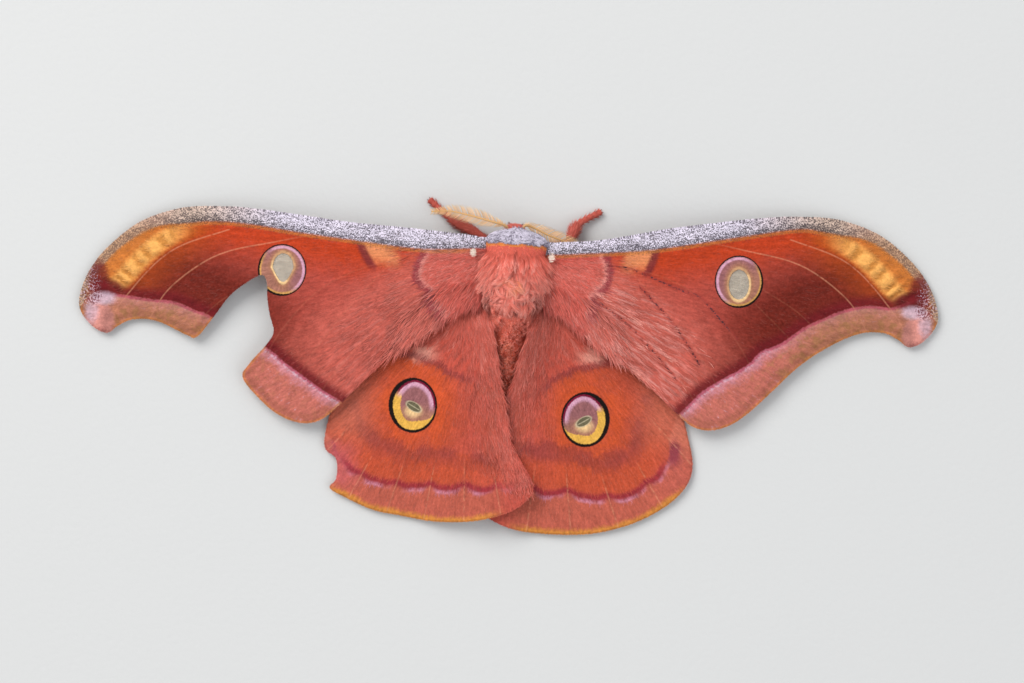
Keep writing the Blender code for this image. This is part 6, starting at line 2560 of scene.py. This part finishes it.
HIND_VEIN_BOW = 0.04
HIND_VEIN_ENDS = [(31.5, -9.0), (32.5, -17.0), (27.6, -24.4), (20.5, -27.8), (13.0, -29.0),
                  (5.5, -28.9), (-1.0, -27.0)]
FEELERS = {
    Side.LEFT: [(-0.1, 23.2, 4.9), (-1.0, 24.1, 5.7), (-3.2, 24.7, 6.2), (-7.0, 25.7, 5.8),
                (-10.5, 26.4, 5.0), (-13.7, 26.3, 4.2)],
    Side.RIGHT: [(1.9, 23.2, 4.7), (2.8, 24.2, 4.9), (4.4, 23.7, 4.4), (6.4, 22.7, 4.1),
                 (8.8, 21.8, 4.0), (11.4, 20.9, 4.0), (14.6, 20.3, 4.0)],
}


def hind_veins() -> list[Plan]:
    """Fan the hindwing's veins out from its root in shallow arcs."""
    root = np.array(HIND_VEIN_ROOT)
    veins = []
    for end in HIND_VEIN_ENDS:
        run = np.array(end) - root
        bow = np.array([-run[1], run[0]]) * HIND_VEIN_BOW
        veins.append([tuple(root + run * 0.15), tuple(root + run * 0.5 + bow), end])
    return veins


def make_forewing(side: Side) -> Forewing:
    """Describe the forewing of one side; the left one is torn."""
    torn = side is Side.LEFT
    if torn:
        outline = COSTA + TIP + TERMEN[:1] + TEAR + TERMEN[3:] + TORNUS
        spot = ForeEyespot((39.4, 15.7), (4.25, 4.5), (39.2, 16.1), (1.8, 2.45), point=0.55)
    else:
        outline = COSTA + TIP + TERMEN + TORNUS
        spot = ForeEyespot((39.9, 15.1), (4.25, 4.55), (39.9, 14.6), (1.75, 2.55))
    return Forewing(side=side, outline=outline, veins=FORE_VEINS, root=(2.0, 19.5),
                    finish=ForewingFinish(f"forewing_{side.value}", spot,
                                          streak=0.15 if torn else 0.6),
                    seed=21 if torn else 22, band=FORE_BAND[side],
                    outer_line=FORE_OUTER_LINE[side], base_line=FORE_BASE_LINE[side],
                    bar_line=FORE_BAR_LINE[side], fork_line=FORK_LINE,
                    creases=[] if torn else CREASES, streaks=0.0 if torn else 1.3)


def make_hindwing(side: Side) -> Hindwing:
    """Describe the hindwing of one side; the left one lies over the right one."""
    left = side is Side.LEFT
    middle = (16.35, -7.4) if left else (13.75, -9.35)
    window = (16.2, -7.65) if left else (13.45, -9.7)
    spot = HindEyespot(middle, (4.25, 4.8), window, (1.4, 0.72), math.radians(30.0))
    return Hindwing(side=side, outline=HIND_LEADING + HIND_OUTER[side] + HIND_INNER,
                    veins=hind_veins(), root=(4.5, 12.0),
                    finish=HindwingFinish(f"hindwing_{side.value}", spot,
                                          flank=0.7 if left else 0.12),
                    seed=31 if left else 32, outer_line=HIND_OUTER_LINE[side],
                    base_line=HIND_BASE_LINE[side], post_line=HIND_POST_LINE[side],
                    inner_edge=HIND_INNER, inner_lie=(-0.3, -0.95) if left else (-0.16, -1.0),
                    upper=left)


def main() -> None:
    """Build the moth and its studio."""
    logging.basicConfig(level=logging.INFO, format="%(name)s %(message)s")
    Studio().build()
    for side in (Side.RIGHT, Side.LEFT):
        for wing in (make_forewing(side), make_hindwing(side)):
            wing.sheet()
            wing.coat()
        Eye(side).build()
        Feeler(side, FEELERS[side]).build(FeelerFinish())
    body = Body(BodyFinish())
    body.skin()
    body.thorax_coat()
    body.abdomen_coat()
    body.head_coat()
    body.leg_coat()
    body.claws()


if __name__ == "__main__":
    main()
